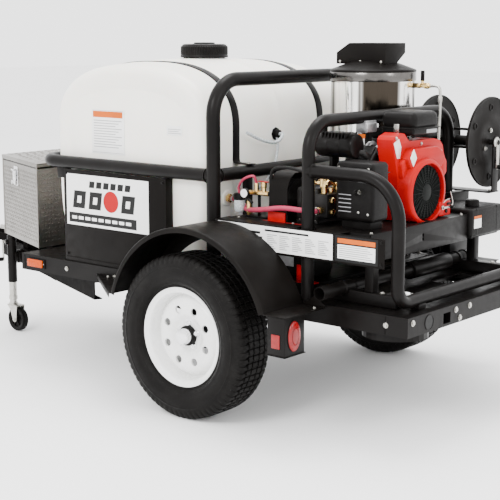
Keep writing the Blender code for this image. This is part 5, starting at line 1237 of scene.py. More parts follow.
def engine():
    """Crankcase, two finned cylinders, intake, oil filter and leads."""
    cast, bright = [], []
    cast.append(box((X + 0.278, -0.168, DECK_TOP + 0.003), (X + 0.508, 0.068, 0.983), 0.01, 3))
    cast.append(box((X + 0.275, -0.17, DECK_TOP + 0.0003), (X + 0.51, 0.07, DECK_TOP + 0.012), 0.002))
    for k in range(7):
        x = X + 0.292 + 0.031 * k
        cast.append(box((x, -0.1698, DECK_TOP + 0.014), (x + 0.005, 0.0698, 0.965), 0.001))
    cast.append(turned(mm((0, 0), (104, 0), (110.5, 3), (112, 8), (112, 28), (109, 30), (0, 30)),
            (X + 0.5, CRANK_Y, CRANK_Z + 0.004), REARWARD, 96))
    bright.append(turned(mm((108.5, 27), (112.2, 27), (112.6, 28.5), (111.8, 30.2), (108.5, 30.4)),
            (X + 0.5, CRANK_Y, CRANK_Z + 0.004), REARWARD, 96, ring=True))
    for side in (-1, 1):
        lean = Matrix.Translation((X + 0.435, *CRANK)) @ Matrix.Rotation(-side * pi / 4, 4, "X")
        cast.append(placed(box((-0.058, -0.045, 0.02), (0.058, 0.045, 0.192), 0.004), lean))
        for k in range(9):
            z = 0.092 + 0.01 * k
            cast.append(placed(box((-0.069, -0.0595, z), (0.069, 0.0595, z + 0.0032), 0.0012), lean))
        cast.append(placed(box((-0.066, -0.055, 0.188), (0.066, 0.055, 0.214), 0.006, 3), lean))
        cast.append(placed(box((-0.056, -0.045, 0.212), (0.056, 0.045, 0.2218), 0.004, 3), lean))
        for x, y in ((-0.058, -0.047), (0.058, -0.047), (-0.058, 0.047), (0.058, 0.047)):
            bright += moved(bolt((x, y, 0.2145), UP, 0.0045, 0.004), lean)
        bright.append(placed(rod((0.06, 0.0, 0.165), (0.0685, 0.0, 0.165), 0.0075, 6, 0.0006), lean))
        cast.append(placed(sweep(smooth_path([(0.066, 0.0, 0.165), (0.078, 0.0, 0.172),
                (0.08, side * -0.01, 0.19), (0.06, side * -0.03, 0.212), (0.02, side * -0.06, 0.205)], 6),
                0.0042, 12), lean))
    cast.append(box((X + 0.38, CRANK_Y - 0.05, 0.96), (X + 0.48, CRANK_Y + 0.05, 1.129), 0.006))
    # intake arms, carburettor and the small box of governor links between the banks
    for side in (-1, 1):
        run = [(X + 0.43, CRANK_Y + side * 0.03, 1.09), (X + 0.43, CRANK_Y + side * 0.065, 1.105),
                (X + 0.43, CRANK_Y + side * 0.1, 1.085)]
        bright.append(sweep(smooth_path(run, 8), 0.016, 20))
    bright.append(box((X + 0.385, CRANK_Y - 0.046, 1.085), (X + 0.475, CRANK_Y + 0.046, 1.122), 0.005, 3))
    # oil filter, dipstick and starter on the near side
    filt = turned(mm((0, 58), (26, 58), (31, 53), (32, 45), (33, 6), (30, 0), (0, 0)),
            (X + 0.345, -0.17, 0.862), LEFTWARD, 40)
    cast.append(rod((X + 0.415, -0.165, 0.85), (X + 0.415, -0.198, 0.85), 0.026, 36, 0.002))
    dip = hose([(X + 0.47, -0.16, 0.88), (X + 0.472, -0.19, 0.93), (X + 0.474, -0.196, 0.99)], 0.0045)
    knob = turned(mm((0, 16), (9, 15), (10, 4), (6, 0), (0, 0)), (X + 0.474, -0.196, 0.985), UP, 24)
    leads = [hose([(X + 0.5, -0.15, 0.845), (X + 0.47, -0.195, 0.832), (X + 0.43, -0.225, 0.816),
            (X + 0.38, -0.228, 0.8095), (X + 0.33, -0.222, 0.8095)], 0.004),
            hose([(X + 0.385, -0.19, 0.852), (X + 0.365, -0.215, 0.838), (X + 0.33, -0.218, 0.822),
            (X + 0.29, -0.212, 0.81)], 0.0045)]
    rust = [hose([(X + 0.5, -0.158, 0.826), (X + 0.45, -0.212, 0.822), (X + 0.4, -0.222, 0.818)], 0.003)]
    piece("engine_cast", "chassis", [(CASTING, *cast), (CAST_ALUMINIUM, *bright), (PLASTIC, filt, dip),
            (YELLOW_VINYL, knob), (BLACK_HOSE, *leads), (RED_HOSE, *rust)], ["engine_block"])


def shroud():
    """The red blower housing with its domed face, the edge band, the badge and a block of controls."""
    back = mm((-145, 806), (115, 806), (150, 835), (172, 870), (183, 930), (185, 1000), (181, 1055),
            (170, 1095), (145, 1118), (100, 1127), (-90, 1127), (-105, 1140), (-125, 1160), (-150, 1164),
            (-196, 1150), (-206, 1138), (-204, 1115), (-190, 1060), (-178, 1010), (-166, 950), (-162, 910),
            (-160, 870))
    well = circle(CRANK, 0.1185, 96)
    parts = [plate(back, X + 0.5315, X + 0.61, "X", holes=(well,), bevel=0.008, segments=4)]
    rows = []
    steps = 96
    for k in range(steps):
        a = 2 * pi * k / steps
        out = 0.14 if sin(a) > -0.8 else 0.128
        ring = []
        for r, x in ((0.1182, 0.605), (0.1182, 0.67), (0.12, 0.672), (0.126, 0.6716), (0.132, 0.6695),
                (0.137, 0.665), (out, 0.656), (out + 0.0015, 0.63), (out + 0.001, 0.605)):
            ring.append((X + x, CRANK_Y + r * cos(a), CRANK_Z + r * sin(a)))
        rows.append(ring)
    parts.append(skin(rows, close_rows=True, close_ends=False, loop=True, angle=40))
    parts.append(plate(mm((-120, 806), (110, 806), (110, 860), (95, 880), (-110, 880), (-120, 860)), X + 0.6,
            X + 0.655, "X", bevel=0.004, segments=3))
    crown = mm((-120, 1010), (100, 1010), (120, 1030), (130, 1052), (112, 1078), (70, 1100), (-100, 1100),
            (-130, 1085), (-150, 1060), (-140, 1035))
    parts.append(plate(crown, X + 0.6, X + 0.65, "X", bevel=0.008, segments=4))
    left = mm((-150, 960), (-110, 990), (-110, 1060), (-146, 1060), (-168, 1045), (-160, 990))
    parts.append(plate(left, X + 0.6, X + 0.632, "X", bevel=0.01, segments=4))
    right = mm((150, 960), (110, 990), (110, 1060), (150, 1060), (174, 1030), (176, 980))
    parts.append(plate(right, X + 0.6, X + 0.632, "X", bevel=0.01, segments=4))
    # the controls' box at the right foot
    parts.append(box((X + 0.612, 0.062, 0.806), (X + 0.668, 0.15, 0.868), 0.004, 3))
    # the bright seal along the housing's left edge
    seam = mm((-186, 1132), (-180, 1090), (-170, 1045), (-156, 1000), (-148, 955), (-150, 905), (-158, 865),
            (-162, 835), (-158, 812))
    strip = sweep(smooth_path([(X + 0.533, y - 0.003, z) for y, z in seam], 6), 0.0042, 12)
    tab = plate(mm((-204, 1126), (-168, 1142), (-150, 1108), (-158, 1062), (-178, 1062)), X + 0.6085, X
            + 0.6125, "X", bevel=0.001)
    badge = mm((-118, 1028), (-94, 1062), (-116, 1098), (-140, 1064))
    badge_in = mm((-118, 1038), (-101, 1062), (-116, 1087), (-133, 1064))
    white = plate(badge, X + 0.648, X + 0.6512, "X")
    green = plate(badge_in, X + 0.65, X + 0.6518, "X")
    screws = bolts([(X + 0.6103, y, z) for y, z in ((0.15, 0.846), (0.158, 1.07), (-0.186, 1.145),
            (-0.14, 0.85), (0.0, 1.112))], REARWARD, 0.0048, 0.004)
    controls = [rod((X + 0.668, 0.112, 0.826), (X + 0.6735, 0.112, 0.826), 0.0085, 24, 0.001),
            box((X + 0.668, 0.118, 0.85), (X + 0.6715, 0.142, 0.86), 0.001)]
    links = [hose([(X + 0.669, 0.132, 0.836), (X + 0.672, 0.15, 0.842), (X + 0.668, 0.166, 0.86),
            (X + 0.65, 0.176, 0.9)], 0.0022), hose([(X + 0.669, 0.09, 0.862), (X + 0.671, 0.11, 0.872),
            (X + 0.668, 0.14, 0.874), (X + 0.65, 0.16, 0.872)], 0.002)]
    piece("engine_shroud", "chassis", [(RED, *parts), (ALUMINIUM_SEAL, strip, tab), (WHITE_VINYL, white),
            (PALE_GREEN, green), (ZINC, *screws, *links), (PLASTIC, *controls)], ["fan_shroud"])


def crank_train():
    """Crankshaft, fan and screen, and the two pulleys."""
    parts = rods(((X + 0.19, *CRANK), (X + 0.66, *CRANK), 0.018, 32, 0.001),
            ((X + 0.54, *CRANK), (X + 0.59, *CRANK), 0.06, 48, 0.003),
            ((X + 0.58, *CRANK), (X + 0.588, *CRANK), 0.108, 72, 0.001))
    for k in range(18):
        turn = Matrix.Translation((X, *CRANK)) @ Matrix.Rotation(2 * pi * k / 18, 4, "X")
        blade = mm((588, 60), (648, 70), (648, 104), (588, 104))
        parts.append(placed(plate(blade, -0.0012, 0.0012, "Z", bevel=0.0004), turn))
    screen = [turned(mm((0, 664.5), (30, 664.5), (34, 662.8), (98, 660), (108.5, 659), (111.5, 657),
            (111.5, 653), (108, 654), (30, 659), (0, 659)), (X, *CRANK), REARWARD, 96)]
    for k in range(7):
        r = 0.04 + 0.0098 * k
        screen.append(turned([(r - 0.0013, 0.66), (r - 0.0008, 0.6655 - 0.0005 * k),
                (r + 0.0008, 0.6655 - 0.0005 * k), (r + 0.0013, 0.66)], (X, *CRANK), REARWARD, 96, ring=True))
    for k in range(24):
        turn = Matrix.Translation((X, *CRANK)) @ Matrix.Rotation(2 * pi * k / 24, 4, "X")
        screen.append(placed(box((0.6595, 0.034, -0.001), (0.6648, 0.107, 0.001), 0.0004), turn))
    groove = mm((0, 20), (30, 20), (34, 18.5), (48, 18.5), (52, 20), (60.2, 20), (61, 19), (61, 13.2),
            (56, 10.8), (55, 10), (55, -10), (56, -10.8), (61, -13.2), (61, -19), (60.2, -20), (0, -20))
    pulley = turned(groove, (PULLEY_X, *CRANK), REARWARD, 72)
    piece("crank_and_fan", "crank_train", [(CASTING, *parts, pulley), (SCREEN, *screen)], ["crankshaft"])
    large = [(r + 0.02 if r > 0.04 else r, x) for r, x in groove]
    pump = turned(large, (PULLEY_X, *PUMP), REARWARD, 80)
    shaft = rod((PULLEY_X, *PUMP), (X + 0.34, *PUMP), 0.012, 28, 0.0008)
    nut = bolt((PULLEY_X - 0.0205, *PUMP), FORWARD, 0.014, 0.01)
    piece("pump_wheel", "pump_train", [(CASTING, pump), (ZINC, shaft, *nut)], ["pump_pulley"])


def top_of_engine():
    """Air cleaner with its skirt and clips, the finned block beside it and the muffler."""
    lid = [box((X + 0.47, -0.095, 1.172), (X + 0.635, 0.1, 1.245), 0.028, 6)]
    skirt = [box((X + 0.474, -0.091, 1.15), (X + 0.631, 0.096, 1.185), 0.01, 4)]
    rim = box((X + 0.4675, -0.0975, 1.1755), (X + 0.6375, 0.1025, 1.1795), 0.0015)
    stem = [box((X + 0.4, CRANK_Y - 0.03, 1.1293), (X + 0.52, CRANK_Y + 0.03, 1.17), 0.006, 3)]
    for k in range(5):
        y = -0.06 + 0.03 * k
        lid.append(box((X + 0.5, y, 1.2435), (X + 0.605, y + 0.006, 1.2452), 0.0006))
    plate_decal = box((X + 0.631, 0.006, 1.156), (X + 0.6322, 0.082, 1.171), 0.0002)
    knobs = [rod((X + 0.5525, 0.0, 1.245), (X + 0.5525, 0.0, 1.2452), 0.012, 28, 0.0)]
    clips = [box((X + 0.54, y, 1.16), (X + 0.565, y + s, 1.195), 0.001)
            for y, s in ((-0.0995, 0.003), (0.1, 0.003))]
    piece("air_box", "chassis", [(PLASTIC, *lid, *skirt, rim, *stem, *knobs), (GREY_VINYL, plate_decal),
            (ZINC, *clips)], ["air_cleaner"])
    fins = [box((X + 0.405 + 0.0058 * k, -0.175, 1.158), (X + 0.4085 + 0.0058 * k, -0.1, 1.207), 0.0008)
            for k in range(9)]
    block = [box((X + 0.402, -0.172, 1.16), (X + 0.462, -0.103, 1.198), 0.003), *fins]
    bracket = [box((X + 0.42, -0.13, 1.12), (X + 0.445, -0.115, 1.165), 0.002)]
    piece("finned_block", "chassis", [(CAST_ALUMINIUM, *block), (CASTING, *bracket)])
    can = turned(mm((0, 0), (38, 0), (47, 4), (50, 12), (50, 60), (48.5, 63), (48.5, 68), (50, 71), (50, 120),
            (48.5, 123), (48.5, 128), (50, 131), (50, 178), (47, 186), (38, 190), (0, 190)),
            (X + 0.28, -0.25, 1.11), REARWARD, 64)
    pipe = turned(mm((11, 0), (14, 0), (14, 46), (11, 46)), (X + 0.3, -0.25, 1.139), UP, 36, ring=True)
    guard = [box((X + 0.315 + 0.0165 * k, -0.292, 1.128), (X + 0.3215 + 0.0165 * k, -0.208, 1.163), 0.0015)
            for k in range(8)]
    stays = [box((X + 0.33, -0.255, 1.02), (X + 0.345, -0.205, 1.066), 0.002),
            box((X + 0.42, -0.24, 1.02), (X + 0.435, -0.19, 1.07), 0.002)]
    feed = hose([(X + 0.455, -0.235, 1.085), (X + 0.478, -0.215, 1.075), (X + 0.478, -0.185, 1.06),
            (X + 0.47, -0.16, 1.045)], 0.014, 8, 20)
    heads = bolts([(x, -0.2905, 1.11) for x in (X + 0.3375, X + 0.4275)], LEFTWARD, 0.005, 0.0035)
    piece("muffler_can", "chassis", [(COAT, can, pipe, *guard, *stays), (CASTING, feed), (ZINC, *heads)],
            ["muffler"])


# ---------------------------------------------------------------- pump, valves and hoses


def pump_unit():
    """Pump case and head, brass fittings, the unloader knob and the valve lever."""
    low = DECK_TOP + 0.0003
    case = [box((X + 0.275, -0.405, low + 0.01), (X + 0.385, -0.235, 0.945), 0.012, 4),
            box((X + 0.277, -0.404, low), (X + 0.383, -0.236, low + 0.014), 0.002)]
    case += [box((X + 0.3 + 0.02 * k, -0.4085, 0.83), (X + 0.304 + 0.02 * k, -0.2315, 0.925), 0.0012)
            for k in range(4)]
    hollow = rod((X + 0.26, *PUMP), (X + 0.345, *PUMP), 0.0124, 32)
    case[0] = carved(case[0], hollow)
    case.append(turned(mm((12.6, 0), (34, 0), (36, 2), (36, 6), (12.6, 6)), (X + 0.2745, *PUMP), FORWARD, 40,
            ring=True))
    head = [box((X + 0.375, -0.41, 0.83), (X + 0.435, -0.25, 0.925), 0.006, 3)]
    caps = []
    for k in range(3):
        y = -0.38 + 0.05 * k
        for z in (0.853, 0.9):
            caps.append(rod((X + 0.434, y, z), (X + 0.448, y, z), 0.0135, 6, 0.0012))
    fittings = rods(((PORT_X, -0.39, 0.92), (PORT_X, -0.39, 0.958), 0.013, 6, 0.0012),
            ((PORT_X, -0.39, 0.95), (PORT_X, -0.39, 0.985), 0.0175, 32, 0.002),
            ((X + 0.378, -0.39, 0.97), (X + 0.432, -0.39, 0.97), 0.0125, 6, 0.001),
            ((X + 0.362, -0.39, 0.97), (X + 0.38, -0.39, 0.97), 0.0105, 24, 0.001),
            ((PORT_X, -0.3, 0.92), (PORT_X, -0.3, 0.965), 0.016, 32, 0.002),
            ((X + 0.388, -0.3, 0.94), (X + 0.422, -0.3, 0.94), 0.013, 6, 0.001),
            ((PORT_X, -0.4, 0.86), (PORT_X, -0.4295, 0.86), 0.015, 6, 0.0012),
            ((PORT_X, -0.345, 0.92), (PORT_X, -0.345, 0.946), 0.011, 6, 0.001))
    fittings.append(sweep(smooth_path([(PORT_X, -0.3, 0.946), (PORT_X, -0.325, 0.958),
            (PORT_X, -0.352, 0.965), (PORT_X, -0.378, 0.966)], 6), 0.008, 20))
    heads = bolts([(x, y, low + 0.0138) for x in (X + 0.29, X + 0.37) for y in (-0.395, -0.246)], UP, 0.0055,
            0.004)
    cap = [turned(mm((0, 27), (15, 27), (18.5, 24), (20, 20), (21.5, 18), (21.5, 4), (18, 0), (0, 0)),
            (X + 0.33, -0.29, 0.94), UP, 10, angle=20)]
    piece("pump_body", "chassis", [(CASTING, *case), (BRASS, *caps, *fittings), (ZINC, *heads), (BLUE, *cap),
            (CASTING, *head)], ["pump"])
    # the fine-tuning knob and the ball valve's lever turn on their own
    x = PORT_X
    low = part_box("unloader_knob")[0].z
    grip = knurled(lambda lift: [(0.0, 0.0398), (0.012, 0.0398), (0.0155, 0.0375), (0.017 + lift, 0.033),
            (0.0175 + lift, 0.008), (0.015, 0.0003), (0.0, 0.0003)], 24, ((0.0, 0.0), (0.5, 0.0011)),
            (x, -0.3, low))
    piece("unloader_grip", "unloader", [(PLASTIC, grip)], ["unloader_knob"])
    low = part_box("valve_lever")[0].z
    hub = [rod((x, -0.39, low), (x, -0.39, low + 0.0075), 0.0085, 6, 0.0008),
            rod((x, -0.39, low), (x, -0.39, low + 0.0136), 0.005, 16, 0.0008)]
    bar = [(x + 0.0085, -0.398), (x + 0.0095, -0.39), (x + 0.0085, -0.382), (x - 0.03, -0.3835),
            (x - 0.078, -0.382), (x - 0.0798, -0.39), (x - 0.078, -0.398), (x - 0.03, -0.3965)]
    piece("valve_arm", "valve_handle", [(ZINC, *hub), (RED_PAINT,
            plate(bar, low + 0.0082, low + 0.0118, "Z", bevel=0.0012))], ["valve_lever"])


def hoses():
    """The suction hose and the water rack ahead of the belt guard."""
    start = TANK_X + 0.49
    route = [(start + 0.003, *OUTLET), (start + 0.015, *OUTLET), (start + 0.03, *OUTLET),
            (start + 0.08, -0.376, 0.845), (X + 0.04, -0.432, 0.834), (X + 0.14, -0.466, 0.845),
            (X + 0.25, -0.471, 0.862), (X + 0.345, -0.473, 0.863), (X + 0.384, -0.473, 0.861),
            (PORT_X, -0.458, 0.86), (PORT_X, -0.4442, 0.86), (PORT_X, -0.4303, 0.86)]
    tube = sweep(smooth_path(route, 8), 0.0108, 20)
    clamps = []
    for place, way in (((start + 0.012, *OUTLET), REARWARD), ((PORT_X, -0.442, 0.86), LEFTWARD)):
        clamps.append(turned(mm((10.6, -4), (12.4, -4), (12.4, 4), (10.6, 4)), place, way, 32, ring=True))
        clamps.append(rod(Vector(place) + Vector((-0.003, 0, 0.0145)), Vector(place)
                + Vector((0.006, 0, 0.0145)), 0.0028, 12, 0.0004))
    piece("feed_hose", "chassis", [(RED_HOSE, tube), (ZINC, *clamps)], ["suction_hose"])
    # a filter bowl, a brass manifold and short hoses ahead of the belt guard
    base = X + 0.055
    rack = rods(((base, -0.44, 0.815), (base, -0.44, 0.875), 0.0095, 20, 0.001),
            ((base - 0.03, -0.415, 0.905), (base + 0.085, -0.415, 0.905), 0.0105, 6, 0.001),
            ((base + 0.02, -0.415, 0.905), (base + 0.02, -0.415, 0.945), 0.0095, 6, 0.001),
            ((base + 0.06, -0.415, 0.905), (base + 0.06, -0.415, 0.932), 0.0095, 6, 0.001),
            ((base + 0.06, -0.415, 0.93), (base + 0.06, -0.415, 0.952), 0.0125, 28, 0.001),
            ((base - 0.01, -0.415, 0.905), (base - 0.01, -0.446, 0.905), 0.009, 6, 0.001))
    gauge = [turned(mm((0, 14), (18.5, 14), (20.5, 12), (20.5, 0), (0, 0)), (base - 0.01, -0.448, 0.905),
            LEFTWARD, 40)]
    dial = [turned(mm((0, 14.9), (17.5, 14.9), (17.8, 13.8), (0, 13.8)), (base - 0.01, -0.448, 0.905),
            LEFTWARD, 40)]
    bowl = [turned(mm((0, 0), (18, 2), (22.5, 10), (23.5, 22), (23.5, 52), (0, 52)),
            (base - 0.06, -0.43, 0.82), UP, 40)]
    top = [turned(mm((0, 0), (26, 0), (27.5, 3), (27.5, 22), (22, 28), (0, 28)), (base - 0.06, -0.43, 0.871),
            UP, 10, angle=20)]
    legs = [box((base - 0.034, -0.424, DECK_TOP), (base + 0.078, -0.406, DECK_TOP + 0.008), 0.001),
            box((base + 0.03, -0.42, DECK_TOP + 0.006), (base + 0.04, -0.41, 0.898), 0.001)]
    small = [hose([(base - 0.036, -0.43, 0.886), (base - 0.02, -0.44, 0.89), (base + 0.004, -0.452, 0.88),
            (base + 0.03, -0.455, 0.868)], 0.0058), hose([(base + 0.085, -0.415, 0.905),
            (base + 0.102, -0.417, 0.915), (base + 0.104, -0.425, 0.96), (base + 0.125, -0.435, 1.01),
            (base + 0.19, -0.435, 1.024), (base + 0.27, -0.425, 1.012), (base + 0.315, -0.402, 0.985),
            (base + 0.318, -0.393, 0.972)], 0.0068)]
    red = [hose([(base + 0.02, -0.415, 0.945), (base + 0.012, -0.428, 0.975), (base - 0.03, -0.44, 0.96),
            (base - 0.06, -0.436, 0.925), (base - 0.06, -0.43, 0.896)], 0.0055)]
    handle = [box((base + 0.03, -0.421, 0.9525), (base + 0.086, -0.409, 0.956), 0.0012)]
    piece("water_rack", "chassis", [(BRASS, *rack), (BLACK_VINYL, *gauge), (WHITE_VINYL, *dial),
            (CLEAR_HOSE, *bowl), (PLASTIC, *top), (COAT, *legs), (BLACK_HOSE, *small), (RED_HOSE, *red),
            (RED_PAINT, *handle)])


def controls():
    """Control box with key and meter, and the throttle lever."""
    body = [box((X + 0.48, -0.42, 0.83), (X + 0.66, -0.3, 1.065), 0.02, 5)]
    foot = [box((X + 0.5, -0.4, DECK_TOP + 0.0003), (X + 0.64, -0.32, 0.86), 0.003)]
    lid = box((X + 0.479, -0.421, 1.02), (X + 0.661, -0.299, 1.0245), 0.0016, 2)
    ribs = []
    for k in range(5):
        z = 0.868 + 0.0165 * k
        ribs.append(box((X + 0.5, -0.4213, z), (X + 0.56, -0.4195, z + 0.0036), 0.0008))
    bezel = turned(mm((7.5, -1), (19, -1), (19, 0.3), (17.5, 0.9), (7.5, 0.9)), (X + 0.6, -0.42, 0.95),
            LEFTWARD, 40, ring=True)
    ring = turned(mm((6.8, 0), (13.5, 0), (12.8, 1.2), (6.8, 1.2)), (X + 0.6, -0.4195, 0.95), LEFTWARD, 36,
            ring=True)
    screws = []
    for x, z in ((0.5, 1.042), (0.64, 1.042), (0.595, 0.87), (0.64, 0.865)):
        screws.append(rod((X + x, -0.4195, z), (X + x, -0.4222, z), 0.0052, 20, 0.0006))
    meter = [box((X + 0.588, -0.4208, 0.985), (X + 0.63, -0.419, 1.008), 0.0008)]
    face = [box((X + 0.592, -0.4212, 0.989), (X + 0.626, -0.42, 1.004), 0.0002)]
    piece("control_case", "chassis", [(PLASTIC, *body, *foot, lid, bezel), (GREY_VINYL, *ribs, *face),
            (ZINC, ring, *screws), (BLACK_VINYL, *meter)], ["control_box"])
    shank = rod((X + 0.6, -0.4206, 0.95), (X + 0.6, -0.437, 0.95), 0.0055, 24, 0.0006)
    bow = plate(arc((-0.449, 0.95), 0.0118, 0, 360, 36)[:-1], X + 0.5967, X + 0.6033, "X",
            holes=(circle((-0.454, 0.95), 0.0032, 20),), bevel=0.0012)
    piece("start_key", "key", [(ZINC, shank), (PLASTIC, bow)], ["ignition_key"])
    x, y, z = X + 0.6723, 0.0757, 0.843
    hub = [rod((x, y, z), (x + 0.006, y, z), 0.009, 28, 0.001),
            rod((x + 0.006, y, z), (x + 0.0118, y, z), 0.0055, 6, 0.0006)]
    arm = plate([(y, z - 0.0045), (y + 0.05, z - 0.0028), (y + 0.058, z), (y + 0.05, z + 0.0028),
            (y, z + 0.0045), (y - 0.006, z)], x + 0.0062, x + 0.0092, "X", bevel=0.0006)
    knob = turned(mm((0, 0), (4.5, 0), (6.8, 3), (6.8, 14), (5, 17.5), (0, 18)), (x + 0.004, y + 0.055, z),
            REARWARD, 28)
    piece("throttle_arm", "throttle", [(ZINC, *hub, arm), (PLASTIC, knob)], ["throttle_lever"])


def belt_drive():
    """The sheet-metal belt guard with its raised slots."""
    low = DECK_TOP + 0.0003
    outer = [(-0.445, low), (-0.445, 0.935), (-0.438, 0.96), (-0.42, 0.985), (-0.395, 1.0), (-0.02, 1.015),
            (0.01, 1.012), (0.034, 1.0), (0.046, 0.975), (0.046, low)]
    rim = plate(outer, X + 0.166, X + 0.262, "X")
    hollow = plate([(-0.441, low - 0.02), (-0.441, 0.935), (-0.434, 0.958), (-0.417, 0.982), (-0.394, 0.996),
            (-0.02, 1.011), (0.008, 1.008), (0.031, 0.997), (0.042, 0.974), (0.042, low - 0.02)], X + 0.1695,
            X + 0.3, "X")
    shell = carved(rim, hollow)
    slots = []
    for row in range(4):
        for k in range(7):
            y, z = -0.385 + 0.06 * k + (0.015 if row % 2 else 0.0), 0.85 + 0.036 * row
            if y < 0.0:
                slots.append(turned(mm((0, 0), (11.5, 0), (12.5, 0.7), (10.5, 1.8), (0, 0.9)),
                        (X + 0.1662, y, z), FORWARD, 28))
    heads = bolts([(X + 0.1655, y, z) for y in (-0.42, 0.022) for z in (0.83, 0.96)], FORWARD, 0.0055, 0.004)
    piece("guard_case", "chassis", [(COAT_FLAT, shell, *slots), (ZINC, *heads)], ["belt_guard"])


def heater():
    """Heater jacket, cone, rain hood and outlet valve."""
    base = SKID_TOP + 0.0003
    height = HEATER_TOP - base
    centre = (HEATER_X, HEATER_Y, base)
    profile = [(0.0, 0.0), (0.184, 0.0), (0.186, 0.002), (0.186, 0.15), (0.1872, 0.153), (0.1872, 0.157),
            (0.186, 0.16), (0.186, 0.48), (0.1854, 0.484), (0.186, 0.488), (0.186, height - 0.036),
            (0.182, height - 0.036), (0.182, 0.006), (0.0, 0.006)]
    rows = []
    steps = 144
    for k in range(steps):
        a = 2 * pi * k / steps
        dent = 1.0 + 0.001 * sin(5 * a) + 0.0006 * sin(11 * a + 1)
        rows.append([(HEATER_X + max(r, 1e-7) * dent * cos(a), HEATER_Y + max(r, 1e-7) * dent * sin(a), base
                + z) for r, z in profile])
    shell = skin(rows, close_ends=False, loop=True, angle=40)
    band = turned([(0.1865, height - 0.04), (0.19, height - 0.04), (0.192, height - 0.036),
            (0.192, height - 0.003), (0.1905, height), (0.182, height), (0.182, height - 0.04)], centre, UP,
            96, ring=True)
    seam = [box((HEATER_X - 0.004, HEATER_Y - 0.1872, base + 0.01),
            (HEATER_X + 0.01, HEATER_Y - 0.185, HEATER_TOP - 0.045), 0.0006)]
    rivets = [ball((HEATER_X + 0.003, HEATER_Y - 0.1872, base + 0.05 + 0.062 * k), 0.0032, (1, 0.5, 1), 12)
            for k in range(12)]
    # the jacket's stainless carries painted reflections as dark and bright upright stripes
    piece("heater_jacket", "chassis", [(STAINLESS_PAINTED_REFLECTIONS, shell, *seam), (ZINC, *rivets), (DARK_BAND, band)],
            ["heater_shell"])
    low = HEATER_TOP + 0.0003
    cone = turned(mm((0, 48), (85, 46), (105, 40), (183, 12), (190.5, 8.5), (192, 6), (192, 0), (0, 0)),
            (*HEATER, low), UP, 96)
    lap = [box((HEATER_X + 0.03, HEATER_Y - 0.03, low + 0.043), (HEATER_X + 0.1, HEATER_Y + 0.03, low + 0.05),
            0.001)]
    outline = [(X + 0.04, 1.425), (X + 0.04, 1.475), (X + 0.108, 1.517), (X + 0.3, 1.517), (X + 0.3, 1.425)]
    hood = plate(outline, 0.185, 0.345, "Y", bevel=0.0014)
    corner = plate(mm((265, 1420), (360, 1420), (360, 1485)), X, X + 0.35, "X")
    screws = bolts([(X + x, 0.185, 1.436) for x in (0.06, 0.17, 0.28)], LEFTWARD, 0.004, 0.0025)
    piece("rain_hood", "chassis", [(COAT_FLAT, cone, *lap, carved(hood, corner)), (ZINC, *screws)],
            ["heater_hood"])
    # outlet tee, ball valve and the pipe that drops from it
    y, z = HEATER_Y + 0.075, 1.332
    start = HEATER_X + 0.17
    brass = rods(((start, y, z), (start + 0.034, y, z), 0.0115, 6, 0.001),
            ((start + 0.034, y, z), (start + 0.082, y, z), 0.0095, 24, 0.001),
            ((start + 0.052, y, z), (start + 0.074, y, z), 0.0135, 6, 0.001),
            ((start + 0.042, y, z), (start + 0.042, y, z + 0.022), 0.0065, 16))
    bend = hose([(start + 0.08, y, z), (start + 0.112, y, z), (start + 0.13, y, z - 0.01),
            (start + 0.134, y, z - 0.045), (start + 0.134, y, z - 0.1), (start + 0.134, y - 0.004, z - 0.22),
            (start + 0.134, y - 0.01, z - 0.335), (start + 0.145, y - 0.012, z - 0.42),
            (start + 0.16, y - 0.012, z - 0.52)], 0.0065, 8, 20)
    collar = rod((start + 0.134, y, z - 0.045), (start + 0.134, y, z - 0.07), 0.0095, 6, 0.001)
    grip = [box((start + 0.034, y - 0.006, z + 0.02), (start + 0.05, y + 0.006, z + 0.066), 0.003, 3)]
    piece("outlet_valve", "chassis", [(BRASS, *brass), (ZINC, bend, collar), (PLASTIC, *grip)])
    stickers()


def stickers():
    """Blank cards curved round the heater's near side."""
    def curved(a0, a1, z0, z1, r, thick=0.0007):
        steps = 12
        rows = []
        for k in range(steps + 1):
            a = radians(a0 + (a1 - a0) * k / steps)
            c, s = cos(a), sin(a)
            rows.append([(HEATER_X + q * c, HEATER_Y + q * s, z)
                    for q, z in ((r, z0), (r + thick, z0), (r + thick, z1), (r, z1))])
        return skin(rows, close_rows=False, angle=30)

    white = [curved(-74, -47, 1.148, 1.175, 0.1872), curved(-74, -52, 1.06, 1.108, 0.1872)]
    red = [curved(-74, -52, 1.108, 1.128, 0.1872)]
    marks = [curved(-71, -67, 1.154, 1.169, 0.1878), curved(-65, -62, 1.156, 1.167, 0.1878),
            curved(-60, -50, 1.158, 1.165, 0.1878), curved(-71, -66, 1.068, 1.09, 0.1878),
            curved(-63, -55, 1.07, 1.076, 0.1878), curved(-63, -57, 1.082, 1.088, 0.1878)]
    piece("heater_cards", "chassis", [(WHITE_VINYL, *white), (ORANGE_VINYL, *red), (GREY_VINYL, *marks)])


